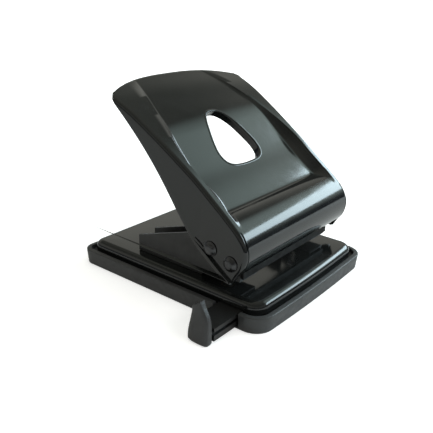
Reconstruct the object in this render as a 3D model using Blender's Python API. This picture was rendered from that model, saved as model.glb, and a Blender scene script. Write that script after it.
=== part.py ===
"""Two-hole paper punch with a broad sprung handle, a steel base on a plastic chip tray and a sliding paper guide.

Metres, +Z up. X runs along the handle's hinge, the paper goes in from the front (-Y), and the
handle's free end is at the back (+Y). The origin is on the floor under the middle of the tray.
The handle is drawn raised, as it rests, and the paper guide is drawn partly pulled out.
"""
import math

import bmesh
import bpy
import numpy as np
from mathutils import Vector

# What every piece shares
HOLE_SPACING = 0.080            # centre to centre of the two punched holes
PUNCH_RADIUS = 0.003            # the hole that it punches is twice this across
TOUCH = 0.0003                  # gap between pieces that touch on the real punch
RUN = 0.0003                    # radial gap of a shaft or a pin in its hole
OVERRUN = 0.004                 # how far a cutter reaches past the face that it cuts
ROUND_SIDES = 28                # sides of a turned piece
CORNER_STEPS = 5                # steps round a quarter corner

# Chip tray
TRAY_PAST_HOLES = 0.0225        # from a punched hole's centre out to the tray's side
TRAY_DEPTH = 0.1464
TRAY_TOP = 0.0104               # height of the rim
TRAY_FRONT_CORNER = 0.012
TRAY_REAR_CORNER = 0.008
TRAY_BOW = 0.0015               # how far the front edge bows out at its middle
TRAY_DRAFT = 0.0008             # how much narrower the tray is at its foot, each side
TRAY_EDGE = 0.0008              # rounding of its edges
TRAY_RIM = 0.0030               # width of the rim seen outside the steel plate
TRAY_RING = 0.0080              # width of the solid ring round the chip space
TRAY_FLOOR = 0.0016             # thickness of the floor
LEDGE_TOP = 0.0077              # height of the ledge that carries the plate's skirt

# Steel base plate
PLATE_INSET = 0.0052            # from the tray's side to the plate's side
PLATE_TOP = 0.0160
PLATE_ROUND = 0.0045            # outer radius of its rolled edge
PLATE_SHEET = 0.0015
TONGUE_WIDTH = 0.012            # two tongues at the back hook under the tray's rear wall
TONGUE_PLACE = 0.030            # from the middle to a tongue's centre
TONGUE_THICK = 0.0011
TONGUE_REACH = 0.0034           # out of the skirt
TONGUE_HIGH = 0.0001            # from the skirt's foot up to the tongue
POCKET_ROOM = 0.0006            # room beside a tongue in its pocket
POCKET_DEEP = 0.0019            # into the rear wall
POCKET_FOOT = 0.0038            # from the ledge down to the pocket's floor
POCKET_ROOF = 0.0009
HINGE_IN = 0.0032               # from the tray's back in to the line that the plate tips about
HINGE_HIGH = 0.0096

# Punch brackets
BRACKET_WIDTH = 0.0165
BRACKET_SHEET = 0.0020          # its two cheeks
BRACKET_FLOOR = 0.0017          # its floor, riser and overhang
THROAT_HEIGHT = 0.0046          # clear height of the paper slot
PAPER_STOP = 0.0135             # from the punch axis back to the stop
BRACKET_LONG = 0.0816           # from the pivot back to the cheeks' rear ends
BRACKET_BACK_HEIGHT = 0.0110    # height of the cheeks above the plate there
BRACKET_PEAK_BACK = 0.0137      # from the punch axis back to the highest point
BRACKET_PEAK = 0.0280           # height of that point above the plate
PIVOT_LOBE = 0.0056             # radius of the cheek round the pivot
LOBE_END = 25.0                 # where the cheek leaves the lobe, below level, in degrees
NOTCH_RADIUS = 0.0060           # round foot of the notch that the drive shaft moves in
NOTCH_BACK = 0.0012             # from the punch axis back to the notch's round foot
NOTCH_HIGH = 0.0004             # from the overhang's top up to the bottom of the notch
NOTCH_SWEEP = 0.0235            # radius about the pivot of the notch's rear side
NOTCH_FROM, NOTCH_TO = -10.0, 17.0      # where that side starts and ends, in degrees
BRACKET_RIVET = 0.0021          # radius of the rivets that hold a bracket down
RIVET_HEAD = 0.0036
RIVET_HEAD_HIGH = 0.0012
HEAD_DOME_shares = ((0.82, 0.72), (0.45, 0.94))    # radius and height on a domed head
RIVETS_BACK = (0.0449, 0.0709)      # from the pivot back to each rivet

# Throat strip, a steel strip across the front of both brackets, over the paper slot
STRIP_HEIGHT = 0.0045
STRIP_SHEET = 0.0015
STRIP_SHORT = 0.0007            # short of the outer cheeks
STRIP_RISE = 0.0021             # from the slot's roof up to the strip
STRIP_BEHIND = 0.0004           # its rear face, back from the pivot

# Shafts
PIVOT_BACK = 0.0243             # from the tray's front edge back to the pivot
PIVOT_Z = 0.0365
LEVER_ARM = 0.0152              # from the pivot to the drive shaft
LEVER_ANGLE = 18.8              # its angle above level at rest, in degrees
HANDLE_TRAVEL = 28.0            # how far the handle is pressed down, in degrees
SHAFT_RADIUS = 0.0030
HEAD_RADIUS = 0.0046
HEAD_HIGH = 0.0020
HEAD_RIM = 0.0007
SPACER_RADIUS = 0.0052

# Punch pins, guides, dies and springs
PIN_HEAD = 0.0043
PIN_HEAD_HIGH = 0.0010
PIN_TIP_HOLLOW = 0.0012         # depth of the hollow that makes its cutting edge
PIN_TIP_RIM = 0.0005
PIN_TIP_ABOVE_THROAT = 0.0004
COLLAR_RADIUS = 0.0059
COLLAR_HIGH = 0.0010
GUIDE_RADIUS = 0.0044
GUIDE_TALL = 0.0044             # from the overhang's underside
DIE_RADIUS = 0.0044
DIE_FLANGE = 0.0050
DIE_FLANGE_HIGH = 0.0015
DIE_BELOW = 0.0012              # below its flange
SPRING_WIRE = 0.00035           # radius of the wire
SPRING_RADIUS = 0.00535         # to the middle of the wire
SPRING_TURNS = 3
SPRING_POINTS = 10              # points in each turn

# Handle, one pressed sheet
HANDLE_SHEET = 0.0016
HANDLE_GAP = 0.00915            # from a bracket's outer cheek to the handle's side
HANDLE_LONG = 0.111             # side view, from where the sides leave the roll to the free end
HANDLE_FLARE = 0.0030           # how much wider it is at the free end, each side
FLARE_FROM = 3                  # row of the side view where it starts to widen
SIDE_BEND = 0.0026              # radius where the top turns down into the sides
BEND_OF_DEPTH_share = 0.58      # it takes no more than this share of a shallow side
ROLL_RADIUS = 0.0171            # rolled front
ROLL_BEHIND = 0.0072            # the roll's centre, back from the pivot
ROLL_ABOVE = 0.0058             # and above it
SEAM_GAP = 0.0008               # open seam between the roll's end and the side's bend
ROLL_LIP_ANGLE = 242.0          # where the rolled sheet ends, from +Y, in degrees
ROLL_SIDE_ANGLE = 222.0         # where the sides' front edge meets the roll
ROLL_OUT_ANGLE = 130.0          # where the sides leave the roll
ROLL_STEPS = 12
CREASE_STEPS = 3
TOP_STEPS = 15
SIDE_ROWS = 2
BEND_STEPS = 3
END_BULGE = 0.0142              # the free end's middle stands out this far past its corners
BULGE_FROM_share = 0.68         # share of the way along the top where the bulge starts
BULGE_POWER = 2.7
END_CORNER = 0.0025             # how far its rounded corners draw back
END_CORNER_share = 0.93         # share of its half width where the rounding starts
CREASE_ROW = 2                  # row of the side view where the panel turns up from the roll
WINDOW_RIM = 0.0013
WINDOW_RIM_TOP = 0.0008         # the turned-down rim starts this far inside the sheet
WINDOW_RIM_DEEP = 0.0052
WINDOW_LENGTH = 0.0405
WINDOW_PLACE = 6.55             # row of the side view at the middle of the window

# Side view of the handle from the roll to the free end. Each row holds the top of the side, the
# lower edge of the side and the middle of the panel, each as (y, z) in shares of HANDLE_LONG, from
# the point where the sides leave the roll.
SIDE_shares = (
    (0.0000, 0.0000, 0.0981, -0.2586, 0.0000, 0.0000),
    (0.0666, 0.0559, 0.1459, -0.2279, 0.0612, 0.0378),
    (0.1405, 0.1135, 0.1954, -0.1910, 0.1380, 0.0495),
    (0.2080, 0.1649, 0.2414, -0.1559, 0.2044, 0.1009),
    (0.2774, 0.2194, 0.2837, -0.1135, 0.2756, 0.1496),
    (0.3468, 0.2676, 0.3224, -0.0559, 0.3468, 0.1991),
    (0.4179, 0.3162, 0.3684, 0.0054, 0.4197, 0.2631),
    (0.4882, 0.3631, 0.4387, 0.1108, 0.4909, 0.3315),
    (0.5603, 0.4099, 0.5152, 0.2126, 0.5621, 0.3964),
    (0.6324, 0.4550, 0.6089, 0.3207, 0.6351, 0.4478),
    (0.7233, 0.5072, 0.7071, 0.4189, 0.7252, 0.5036),
    (0.8324, 0.5541, 0.8233, 0.5216, 0.8324, 0.5541),
)
# Lower edge of the side under the roll, from the front back, in shares of LEVER_ARM from the pivot.
LOBE_shares = (
    (-0.013, -0.832), (0.118, -0.829), (0.224, -0.803),
    (0.303, -0.757), (0.368, -0.714), (0.421, -0.678),
)
# Front edge of the side below the roll, likewise, then the share of the full bend at its first
# stations.
FRONT_shares = ((-0.079, -0.803), (-0.151, -0.711), (-0.217, -0.592), (-0.289, -0.474))
FRONT_BEND_shares = (0.70, 0.74, 0.79, 0.85, 0.91, 0.96)
# The sunk panel at each row: where the slope down into it starts and ends, in shares of ROLL_HALF.
PANEL_shares = (
    (0.970, 0.76), (0.970, 0.72), (0.970, 0.70), (0.970, 0.71), (0.968, 0.78), (0.960, 0.82),
    (0.930, 0.79), (0.885, 0.75), (0.825, 0.69), (0.755, 0.62), (0.665, 0.54), (0.560, 0.44),
)
SLOPE_shares = (0.0, 0.25, 0.5, 0.75, 1.0)         # columns down the slope
FLOOR_shares = (0.72, 0.46, 0.22, 0.0)              # and over half of the panel's floor
# Outline of the window: across and along, in shares of its length.
WINDOW_shares = (
    (0.00, 0.52), (0.13, 0.49), (0.24, 0.37), (0.34, 0.17), (0.42, -0.05),
    (0.455, -0.22), (0.42, -0.37), (0.30, -0.45), (0.15, -0.475), (0.00, -0.48),
)
WINDOW_STEPS = 2

# Paper guide
BAR_WIDTH = 0.0160
BAR_HEIGHT = 0.0078
BAR_FRONT = 0.0162              # from the tray's front edge back to the bar
BAR_LIFT = 0.0019               # its underside above the floor
BAR_OUT = 0.0195                # how far it is pulled out of the tray's side at rest
BAR_ROOM = 0.0200               # from its inner end to the chip space's far wall at rest
BAR_GROOVE = 0.0017             # depth of the groove in each side
BAR_GROOVE_HIGH = 0.0022
BAR_GROOVE_FOOT = 0.0034        # from the bar's underside
NOTCH_ROOM = 0.0010             # room beside the bar in the tray's wall
RAIL_LENGTH = 0.024
RAIL_ROOM = 0.0010              # from the chip space's wall in to the rails' outer end
RAIL_SHEET = 0.0015
RAIL_LIP = 0.0012
STOP_FOOT = 0.0004              # underside of the end stop above the floor
STOP_HEIGHT = 0.0250
STOP_THICK = 0.0060
STOP_EDGE_share = 0.76          # thickness at its front and rear edges
STOP_STEPS = 7
# The end stop from its foot to its top: height, front, rear and thickness, in shares.
STOP_shares = (
    (0.000, 0.06, 0.82, 0.90), (0.035, 0.03, 0.88, 0.98), (0.08, 0.02, 0.90, 1.00), (0.27, 0.03, 0.895, 0.93),
    (0.49, 0.05, 0.84, 0.83), (0.65, 0.12, 0.80, 0.77), (0.755, 0.21, 0.775, 0.74), (0.86, 0.31, 0.75, 0.73),
    (0.925, 0.36, 0.60, 0.72), (0.98, 0.405, 0.48, 0.70), (1.00, 0.42, 0.45, 0.66),
)

# Worked out from the sizes above
SIDES = (("left", -1), ("right", 1))
TRAY_HALF = Vector((HOLE_SPACING / 2 + TRAY_PAST_HOLES, TRAY_DEPTH / 2))
PLATE_HALF = Vector((TRAY_HALF.x - PLATE_INSET, TRAY_HALF.y - PLATE_INSET))
PLATE_FOOT = LEDGE_TOP + TOUCH
PLATE_UNDER = PLATE_TOP - PLATE_SHEET
BRACKET_X = HOLE_SPACING / 2
CHEEK_IN = BRACKET_X - BRACKET_WIDTH / 2
CHEEK_OUT = BRACKET_X + BRACKET_WIDTH / 2
BRACKET_FOOT = PLATE_TOP + TOUCH
THROAT_TOP = PLATE_TOP + THROAT_HEIGHT
OVERHANG_TOP = THROAT_TOP + BRACKET_FLOOR
PIVOT_Y = -TRAY_HALF.y + PIVOT_BACK
REST_ANGLE = math.radians(LEVER_ANGLE)
DOWN_ANGLE = math.radians(LEVER_ANGLE - HANDLE_TRAVEL)
DRIVE_Y = PIVOT_Y + LEVER_ARM * math.cos(REST_ANGLE)
DRIVE_Z = PIVOT_Z + LEVER_ARM * math.sin(REST_ANGLE)
PUNCH_Y = PIVOT_Y + LEVER_ARM * math.cos((REST_ANGLE + DOWN_ANGLE) / 2)
PUNCH_STROKE = LEVER_ARM * (math.sin(REST_ANGLE) - math.sin(DOWN_ANGLE))
STOP_Y = PUNCH_Y + PAPER_STOP
RIVET_PLACES = [PIVOT_Y + back for back in RIVETS_BACK]
STRIP_BACK = PIVOT_Y + STRIP_BEHIND
CHEEK_FRONT = STRIP_BACK + TOUCH
BRACKET_BACK = PIVOT_Y + BRACKET_LONG
HANDLE_IN = CHEEK_OUT + HANDLE_GAP
HANDLE_OUT = HANDLE_IN + HANDLE_SHEET
HEAD_SEAT = HANDLE_OUT + TOUCH
PIN_TOP = DRIVE_Z - SHAFT_RADIUS - TOUCH
ROLL_Y = PIVOT_Y + ROLL_BEHIND
ROLL_Z = PIVOT_Z + ROLL_ABOVE
ROLL_HALF = HANDLE_OUT - SIDE_BEND - SEAM_GAP
BAR_Y0 = -TRAY_HALF.y + BAR_FRONT
BAR_Y1 = BAR_Y0 + BAR_WIDTH
BAR_Z0 = BAR_LIFT
BAR_Z1 = BAR_LIFT + BAR_HEIGHT
BAR_X0 = -TRAY_HALF.x - BAR_OUT
BAR_X1 = TRAY_HALF.x - TRAY_RING - BAR_ROOM
RAIL_X0 = -TRAY_HALF.x + TRAY_RING + RAIL_ROOM
HINGE_Y = TRAY_HALF.y - HINGE_IN


# Materials
def material(name, colour, roughness, metallic):
    """One Principled material."""
    made = bpy.data.materials.new(name)
    made.use_nodes = True
    shader = made.node_tree.nodes["Principled BSDF"]
    shader.inputs["Base Color"].default_value = (*colour, 1.0)
    shader.inputs["Roughness"].default_value = roughness
    shader.inputs["Metallic"].default_value = metallic
    made.diffuse_color = (*colour, 1.0)
    return made


def clear_scene():
    """Starts from an empty scene."""
    for thing in list(bpy.data.objects):
        bpy.data.objects.remove(thing, do_unlink=True)


# Mesh helpers
def add_object(name, verts, faces, paint, smooth=30.0):
    """An object from points and faces, with its faces turned outwards."""
    mesh = bpy.data.meshes.new(name)
    shape = bmesh.new()
    points = [shape.verts.new(p) for p in verts]
    for face in faces:
        shape.faces.new([points[i] for i in face])
    bmesh.ops.recalc_face_normals(shape, faces=shape.faces)
    shape.to_mesh(mesh)
    shape.free()
    mesh.shade_smooth()
    mesh.set_sharp_from_angle(angle=math.radians(smooth))
    thing = bpy.data.objects.new(name, mesh)
    bpy.context.collection.objects.link(thing)
    if paint is not None:
        mesh.materials.append(paint)
    return thing


def loft(name, rings, paint, smooth=30.0):
    """A closed solid through rings of equally many points, capped at both ends."""
    count = len(rings[0])
    verts = [tuple(p) for ring in rings for p in ring]
    faces = [tuple(range(count))]
    for level in range(len(rings) - 1):
        low = level * count
        high = low + count
        for i in range(count):
            j = (i + 1) % count
            faces.append((low + i, low + j, high + j, high + i))
    last = (len(rings) - 1) * count
    faces.append(tuple(range(last, last + count)))
    return add_object(name, verts, faces, paint, smooth)


def prism(name, outline, axis, start, end, paint):
    """A flat outline pushed along an axis. The outline holds the other two coordinates, in order."""
    rings = []
    for value in (start, end):
        ring = []
        for point in outline:
            place = list(point)
            place.insert("XYZ".index(axis), value)
            ring.append(place)
        rings.append(ring)
    return loft(name, rings, paint)


def block(name, low, high, paint):
    """A plain box between two corners."""
    outline = [(low[0], low[1]), (high[0], low[1]), (high[0], high[1]), (low[0], high[1])]
    return prism(name, outline, "Z", low[2], high[2], paint)


def turned(name, profile, axis, centre, paint, sides=ROUND_SIDES, smooth=40.0):
    """A closed profile of (radius, along) turned round an axis through centre; radius 0 makes a pole."""
    verts, index, faces = [], [], []
    for radius, along in profile:
        row = []
        for i in range(1 if radius == 0 else sides):
            angle = 2 * math.pi * i / sides
            flat = (radius * math.cos(angle), radius * math.sin(angle))
            row.append(len(verts))
            if axis == "X":
                verts.append((centre[0] + along, centre[1] + flat[0], centre[2] + flat[1]))
            else:
                verts.append((centre[0] + flat[0], centre[1] + flat[1], centre[2] + along))
        index.append(row)
    closed = all(radius > 0 for radius, along in profile)
    pairs = list(zip(index, index[1:])) + ([(index[-1], index[0])] if closed else [])
    for one, two in pairs:
        for i in range(sides):
            j = (i + 1) % sides
            corners = [one[i % len(one)], one[j % len(one)], two[j % len(two)], two[i % len(two)]]
            face = list(dict.fromkeys(corners))
            if len(face) > 2:
                faces.append(tuple(face))
    return add_object(name, verts, faces, paint, smooth)


def tube(name, inner, outer, axis, centre, start, end, paint):
    """A straight bush."""
    profile = [(inner, start), (outer, start), (outer, end), (inner, end)]
    return turned(name, profile, axis, centre, paint)


def rod(name, radius, axis, centre, start, end, paint=None, sides=ROUND_SIDES):
    """A plain round bar."""
    return turned(name, [(0, start), (radius, start), (radius, end), (0, end)], axis, centre, paint, sides)


def combine(thing, other, operation="DIFFERENCE"):
    """Cuts or joins with another object, which stays as a hidden guide."""
    other.hide_render = True
    other.display_type = "WIRE"
    change = thing.modifiers.new(operation.lower() + "_" + other.name, "BOOLEAN")
    change.operation = operation
    change.object = other
    change.solver = "EXACT"


def arc(centre, radius, start, end, steps):
    """Points of an arc in a flat outline, angles in degrees from the first axis."""
    angles = [math.radians(start + (end - start) * i / steps) for i in range(steps + 1)]
    return [(centre[0] + radius * math.cos(a), centre[1] + radius * math.sin(a)) for a in angles]


def smooth_line(points, steps):
    """A smooth curve through points, with even steps between each two (Catmull-Rom)."""
    rows = np.array(points, float)
    ends = np.vstack([2 * rows[0] - rows[1], rows, 2 * rows[-1] - rows[-2]])
    out = []
    for i in range(len(rows) - 1):
        a, b, c, d = ends[i:i + 4]
        for k in range(steps):
            t = k / steps
            out.append(0.5 * (2 * b + (c - a) * t + (2 * a - 5 * b + 4 * c - d) * t * t
                              + (3 * b - a - 3 * c + d) * t ** 3))
    out.append(rows[-1])
    return np.array(out)


# Chip tray
def tray_ring(inset, height, half=TRAY_HALF, front=TRAY_FRONT_CORNER, rear=TRAY_REAR_CORNER):
    """A rounded rectangle seen from above, drawn in by inset, with the front edge bowed out."""
    wide, deep = half.x - inset, half.y - inset
    small = TRAY_EDGE
    radii = [max(front - inset, small), max(front - inset, small), max(rear - inset, small), max(rear - inset, small)]
    corners = [(-1, -1, 180), (1, -1, 270), (1, 1, 0), (-1, 1, 90)]
    ring = []
    for radius, (sx, sy, start) in zip(radii, corners):
        centre = (sx * (wide - radius), sy * (deep - radius))
        ring += arc(centre, radius, start, start + 90, CORNER_STEPS)
        if (sx, sy) == (-1, -1):
            inner = wide - radius
            count = 2 * CORNER_STEPS
            ring += [(-inner + 2 * inner * i / count, -deep) for i in range(1, count)]
    bowed = []
    for x, y in ring:
        bow = TRAY_BOW * (1 - (x / wide) ** 2) if y < 0 else 0
        bowed.append((x, y - bow, height))
    return bowed


def make_tray(paint):
    """The plastic tray that catches the chips, one moulding open at the top."""
    rings = [
        tray_ring(TRAY_DRAFT + TRAY_EDGE, 0),
        tray_ring(TRAY_DRAFT, TRAY_EDGE),
        tray_ring(0, TRAY_TOP - TRAY_EDGE),
        tray_ring(TRAY_EDGE, TRAY_TOP),
        tray_ring(TRAY_RIM, TRAY_TOP),
        tray_ring(TRAY_RIM, LEDGE_TOP),
        tray_ring(TRAY_RING, LEDGE_TOP),
        tray_ring(TRAY_RING, TRAY_FLOOR),
    ]
    tray = loft("chip_tray", rings, paint)
    low = (-TRAY_HALF.x - OVERRUN, BAR_Y0 - NOTCH_ROOM, TRAY_FLOOR)
    high = (-TRAY_HALF.x + TRAY_RING + OVERRUN, BAR_Y1 + NOTCH_ROOM, TRAY_TOP + OVERRUN)
    combine(tray, block("guide_notch_cut", low, high, None))
    wall_in = TRAY_HALF.y - TRAY_RIM
    room = TONGUE_WIDTH / 2 + POCKET_ROOM
    for side, sign in SIDES:
        middle = sign * TONGUE_PLACE
        low = (middle - room, wall_in - OVERRUN / 2, LEDGE_TOP - POCKET_FOOT)
        high = (middle + room, wall_in + POCKET_DEEP, TRAY_TOP - POCKET_ROOF)
        combine(tray, block(side + "_pocket_cut", low, high, None))
    return tray


# Steel base
def plate_ring(inset, height):
    """The plate's outline, drawn in by inset."""
    front = TRAY_FRONT_CORNER - PLATE_INSET / 2
    rear = TRAY_REAR_CORNER - PLATE_INSET / 4
    return tray_ring(inset, height, PLATE_HALF, front, rear)


def make_plate(paint):
    """The pressed steel plate: flat on top, with a rolled edge and a skirt that stands on the tray's ledge."""
    steps = CORNER_STEPS
    bend_z = PLATE_TOP - PLATE_ROUND
    inner_round = PLATE_ROUND - PLATE_SHEET
    rings = []
    for i in range(steps + 1):
        angle = math.pi / 2 * (1 - i / steps)
        rings.append(plate_ring(PLATE_SHEET + inner_round * (1 - math.cos(angle)), bend_z + inner_round * math.sin(angle)))
    rings.append(plate_ring(PLATE_SHEET, PLATE_FOOT))
    rings.append(plate_ring(0, PLATE_FOOT))
    for i in range(steps + 1):
        angle = math.pi / 2 * i / steps
        rings.append(plate_ring(PLATE_ROUND * (1 - math.cos(angle)), bend_z + PLATE_ROUND * math.sin(angle)))
    plate = loft("base_plate", rings, paint)
    skirt = PLATE_HALF.y
    low_z = PLATE_FOOT + TONGUE_HIGH
    for side, sign in SIDES:
        middle = sign * TONGUE_PLACE
        low = (middle - TONGUE_WIDTH / 2, skirt - PLATE_SHEET / 2, low_z)
        high = (middle + TONGUE_WIDTH / 2, skirt + TONGUE_REACH, low_z + TONGUE_THICK)
        combine(plate, block(side + "_tongue", low, high, None), "UNION")
    low = (-PLATE_HALF.x - OVERRUN / 4, BAR_Y0 - NOTCH_ROOM, PLATE_FOOT - OVERRUN)
    high = (-PLATE_HALF.x + PLATE_SHEET + OVERRUN / 4, BAR_Y1 + NOTCH_ROOM, BAR_Z1 + NOTCH_ROOM / 2)
    combine(plate, block("skirt_notch_cut", low, high, None))
    for side, sign in SIDES:
        x = sign * BRACKET_X
        combine(plate, rod(side + "_die_cut", DIE_RADIUS + TOUCH, "Z", (x, PUNCH_Y, 0),
                           PLATE_UNDER - OVERRUN, PLATE_TOP + OVERRUN))
        for i, y in enumerate(RIVET_PLACES):
            combine(plate, rod("%s_plate_rivet_cut_%d" % (side, i), BRACKET_RIVET + RUN, "Z", (x, y, 0),
                               PLATE_UNDER - OVERRUN, PLATE_TOP + OVERRUN, sides=16))
    return plate


# Punch brackets
def cheek_outline():
    """Side view of a bracket's cheek, as (y, z), from the front foot round over the top to the back."""
    pivot = (PIVOT_Y, PIVOT_Z)
    notch = (PUNCH_Y + NOTCH_BACK, OVERHANG_TOP + NOTCH_HIGH + NOTCH_RADIUS)
    low_front = 180 + math.degrees(math.acos((PIVOT_Y - CHEEK_FRONT) / PIVOT_LOBE))
    outline = [(CHEEK_FRONT, THROAT_TOP)]
    outline += arc(pivot, PIVOT_LOBE, low_front, -LOBE_END, 4 * CORNER_STEPS)
    outline += arc(notch, NOTCH_RADIUS, 205, 345, 2 * CORNER_STEPS)
    outline += arc(pivot, NOTCH_SWEEP, NOTCH_FROM, NOTCH_TO, CORNER_STEPS)
    outline += [(PUNCH_Y + BRACKET_PEAK_BACK, PLATE_TOP + BRACKET_PEAK)]
    outline += [(BRACKET_BACK, PLATE_TOP + BRACKET_BACK_HEIGHT), (BRACKET_BACK, BRACKET_FOOT)]
    outline += [(STOP_Y, BRACKET_FOOT), (STOP_Y, THROAT_TOP)]
    return outline


def make_bracket(side, sign, paint):
    """A folded steel bracket: two cheeks joined by a floor, a riser at the paper stop and an overhang."""
    x0 = sign * BRACKET_X - BRACKET_WIDTH / 2
    bracket = prism(side + "_bracket", cheek_outline(), "X", x0, x0 + BRACKET_WIDTH, paint)
    far = BRACKET_BACK + OVERRUN
    riser = STOP_Y + BRACKET_FLOOR
    top = PLATE_TOP + BRACKET_PEAK + OVERRUN
    inside = [(PIVOT_Y - ROLL_RADIUS, OVERHANG_TOP), (riser, OVERHANG_TOP), (riser, BRACKET_FOOT + BRACKET_FLOOR),
              (far, BRACKET_FOOT + BRACKET_FLOOR), (far, top), (PIVOT_Y - ROLL_RADIUS, top)]
    combine(bracket, prism(side + "_bracket_inside_cut", inside, "X", x0 + BRACKET_SHEET,
                           x0 + BRACKET_WIDTH - BRACKET_SHEET, None))
    combine(bracket, rod(side + "_pivot_cut", SHAFT_RADIUS + RUN, "X", (0, PIVOT_Y, PIVOT_Z),
                         x0 - OVERRUN, x0 + BRACKET_WIDTH + OVERRUN))
    x = sign * BRACKET_X
    combine(bracket, rod(side + "_guide_cut", GUIDE_RADIUS + TOUCH, "Z", (x, PUNCH_Y, 0),
                         THROAT_TOP - OVERRUN / 2, OVERHANG_TOP + OVERRUN / 2))
    for i, y in enumerate(RIVET_PLACES):
        combine(bracket, rod("%s_bracket_rivet_cut_%d" % (side, i), BRACKET_RIVET + RUN, "Z", (x, y, 0),
                             PLATE_TOP - OVERRUN / 2, BRACKET_FOOT + BRACKET_FLOOR + OVERRUN / 2, sides=16))
    return bracket


def make_bracket_rivets(side, sign, paint):
    """Two rivets through a bracket's floor and the plate, headed above and below."""
    top = BRACKET_FOOT + BRACKET_FLOOR + TOUCH
    under = PLATE_UNDER - TOUCH
    low = [(RIVET_HEAD * a, under - RIVET_HEAD_HIGH * b) for a, b in reversed(HEAD_DOME_shares)]
    high = [(RIVET_HEAD * a, top + RIVET_HEAD_HIGH * b) for a, b in HEAD_DOME_shares]
    profile = [(0, under - RIVET_HEAD_HIGH), *low, (RIVET_HEAD, under), (BRACKET_RIVET, under),
               (BRACKET_RIVET, top), (RIVET_HEAD, top), *high, (0, top + RIVET_HEAD_HIGH)]
    for place, y in zip(("front", "rear"), RIVET_PLACES):
        turned("%s_bracket_rivet_%s" % (side, place), profile, "Z", (sign * BRACKET_X, y, 0), paint, sides=16)


def make_throat_strip(paint):
    """The strip across the front of both brackets, over the paper slot."""
    wide = CHEEK_OUT - STRIP_SHORT
    foot = THROAT_TOP + STRIP_RISE
    low = (-wide, STRIP_BACK - STRIP_SHEET, foot)
    high = (wide, STRIP_BACK, foot + STRIP_HEIGHT)
    return block("throat_strip", low, high, paint)


# Punching parts
def make_punch(side, sign, paints):
    """One punch: pin, collar, guide bush, die and return spring, all round one upright axis."""
    centre = (sign * BRACKET_X, PUNCH_Y, 0)
    bore = PUNCH_RADIUS + RUN
    tip = THROAT_TOP + PIN_TIP_ABOVE_THROAT
    head = PIN_TOP - PIN_HEAD_HIGH
    profile = [(0, tip + PIN_TIP_HOLLOW), (PUNCH_RADIUS - PIN_TIP_RIM, tip), (PUNCH_RADIUS, tip),
               (PUNCH_RADIUS, head), (PIN_HEAD, head), (PIN_HEAD, PIN_TOP), (0, PIN_TOP)]
    turned(side + "_punch_pin", profile, "Z", centre, paints["ground_steel"])
    collar_top = head - TOUCH
    collar_foot = collar_top - COLLAR_HIGH
    tube(side + "_pin_collar", bore, COLLAR_RADIUS, "Z", centre, collar_foot, collar_top, paints["zinc"])
    tube(side + "_punch_guide", bore, GUIDE_RADIUS, "Z", centre, THROAT_TOP, THROAT_TOP + GUIDE_TALL,
         paints["bronze"])
    die_top = PLATE_TOP - TOUCH / 2
    flange_top = PLATE_UNDER - TOUCH
    flange_foot = flange_top - DIE_FLANGE_HIGH
    profile = [(bore, flange_foot - DIE_BELOW), (DIE_RADIUS, flange_foot - DIE_BELOW), (DIE_RADIUS, flange_foot),
               (DIE_FLANGE, flange_foot), (DIE_FLANGE, flange_top), (DIE_RADIUS, flange_top),
               (DIE_RADIUS, die_top), (bore, die_top)]
    turned(side + "_die", profile, "Z", centre, paints["ground_steel"])
    make_spring(side, centre, OVERHANG_TOP + TOUCH, collar_foot - TOUCH, paints["spring_steel"])


def spring_points(centre, foot, top):
    """Middle of the wire: a helix whose two ends run straight up and down for one wire diameter."""
    straight = 2 * SPRING_WIRE
    count = SPRING_TURNS * SPRING_POINTS
    angle = 2 * math.pi * np.arange(count + 1) / SPRING_POINTS
    height = np.linspace(foot + straight, top - straight, count + 1)
    x = centre[0] + SPRING_RADIUS * np.cos(angle)
    y = centre[1] + SPRING_RADIUS * np.sin(angle)
    coil = np.column_stack([x, y, height])
    start, end = coil[0].copy(), coil[-1].copy()
    start[2], end[2] = foot, top
    return np.vstack([start, coil, end])


def make_spring(side, centre, foot, top, paint):
    """The return spring between the overhang and the pin's collar, one unbroken wire."""
    points = spring_points(centre, foot, top)
    curve = bpy.data.curves.new(side + "_return_spring", "CURVE")
    curve.dimensions = "3D"
    curve.bevel_depth = SPRING_WIRE
    curve.bevel_resolution = 1
    curve.use_fill_caps = True
    line = curve.splines.new("POLY")
    line.points.add(len(points) - 1)
    for point, place in zip(line.points, points):
        point.co = (*place, 1)
    curve.materials.append(paint)
    thing = bpy.data.objects.new(side + "_return_spring", curve)
    bpy.context.collection.objects.link(thing)
    turn = SPRING_POINTS
    coil = points[1:-1]
    steps = [np.linalg.norm(coil[turn + k:] - coil[:len(coil) - turn - k], axis=1).min() for k in (-1, 0, 1)]
    print(side + "_return_spring least gap to itself, mm: %.2f" % ((min(steps) - 2 * SPRING_WIRE) * 1000))


# Shafts
def make_shaft(name, y, z, paint):
    """A shaft through both sides of the handle, with a domed head at each end."""
    def head(sign):
        dome = [(HEAD_RADIUS * a, sign * (HEAD_SEAT + HEAD_HIGH * b)) for a, b in HEAD_DOME_shares]
        return [(SHAFT_RADIUS, sign * HEAD_SEAT), (HEAD_RADIUS, sign * HEAD_SEAT),
                (HEAD_RADIUS, sign * (HEAD_SEAT + HEAD_RIM)), *dome, (0, sign * (HEAD_SEAT + HEAD_HIGH))]
    profile = list(reversed(head(-1))) + head(1)
    return turned(name, profile, "X", (0, y, z), paint)


def make_spacers(paint):
    """Bushes on the pivot that keep the handle's sides centred over the brackets."""
    for side, sign in SIDES:
        ends = sorted((sign * (CHEEK_OUT + TOUCH), sign * (HANDLE_IN - TOUCH)))
        tube(side + "_pivot_spacer", SHAFT_RADIUS + TOUCH, SPACER_RADIUS, "X", (0, PIVOT_Y, PIVOT_Z), *ends, paint)


# Handle
def curve_at(points, rows):
    """Points of a smooth curve through others, at fractional rows."""
    steps = 24
    fine = smooth_line(points, steps)
    place = np.asarray(rows) * steps
    return np.column_stack([np.interp(place, np.arange(len(fine)), fine[:, i]) for i in (0, 1)])


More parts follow.
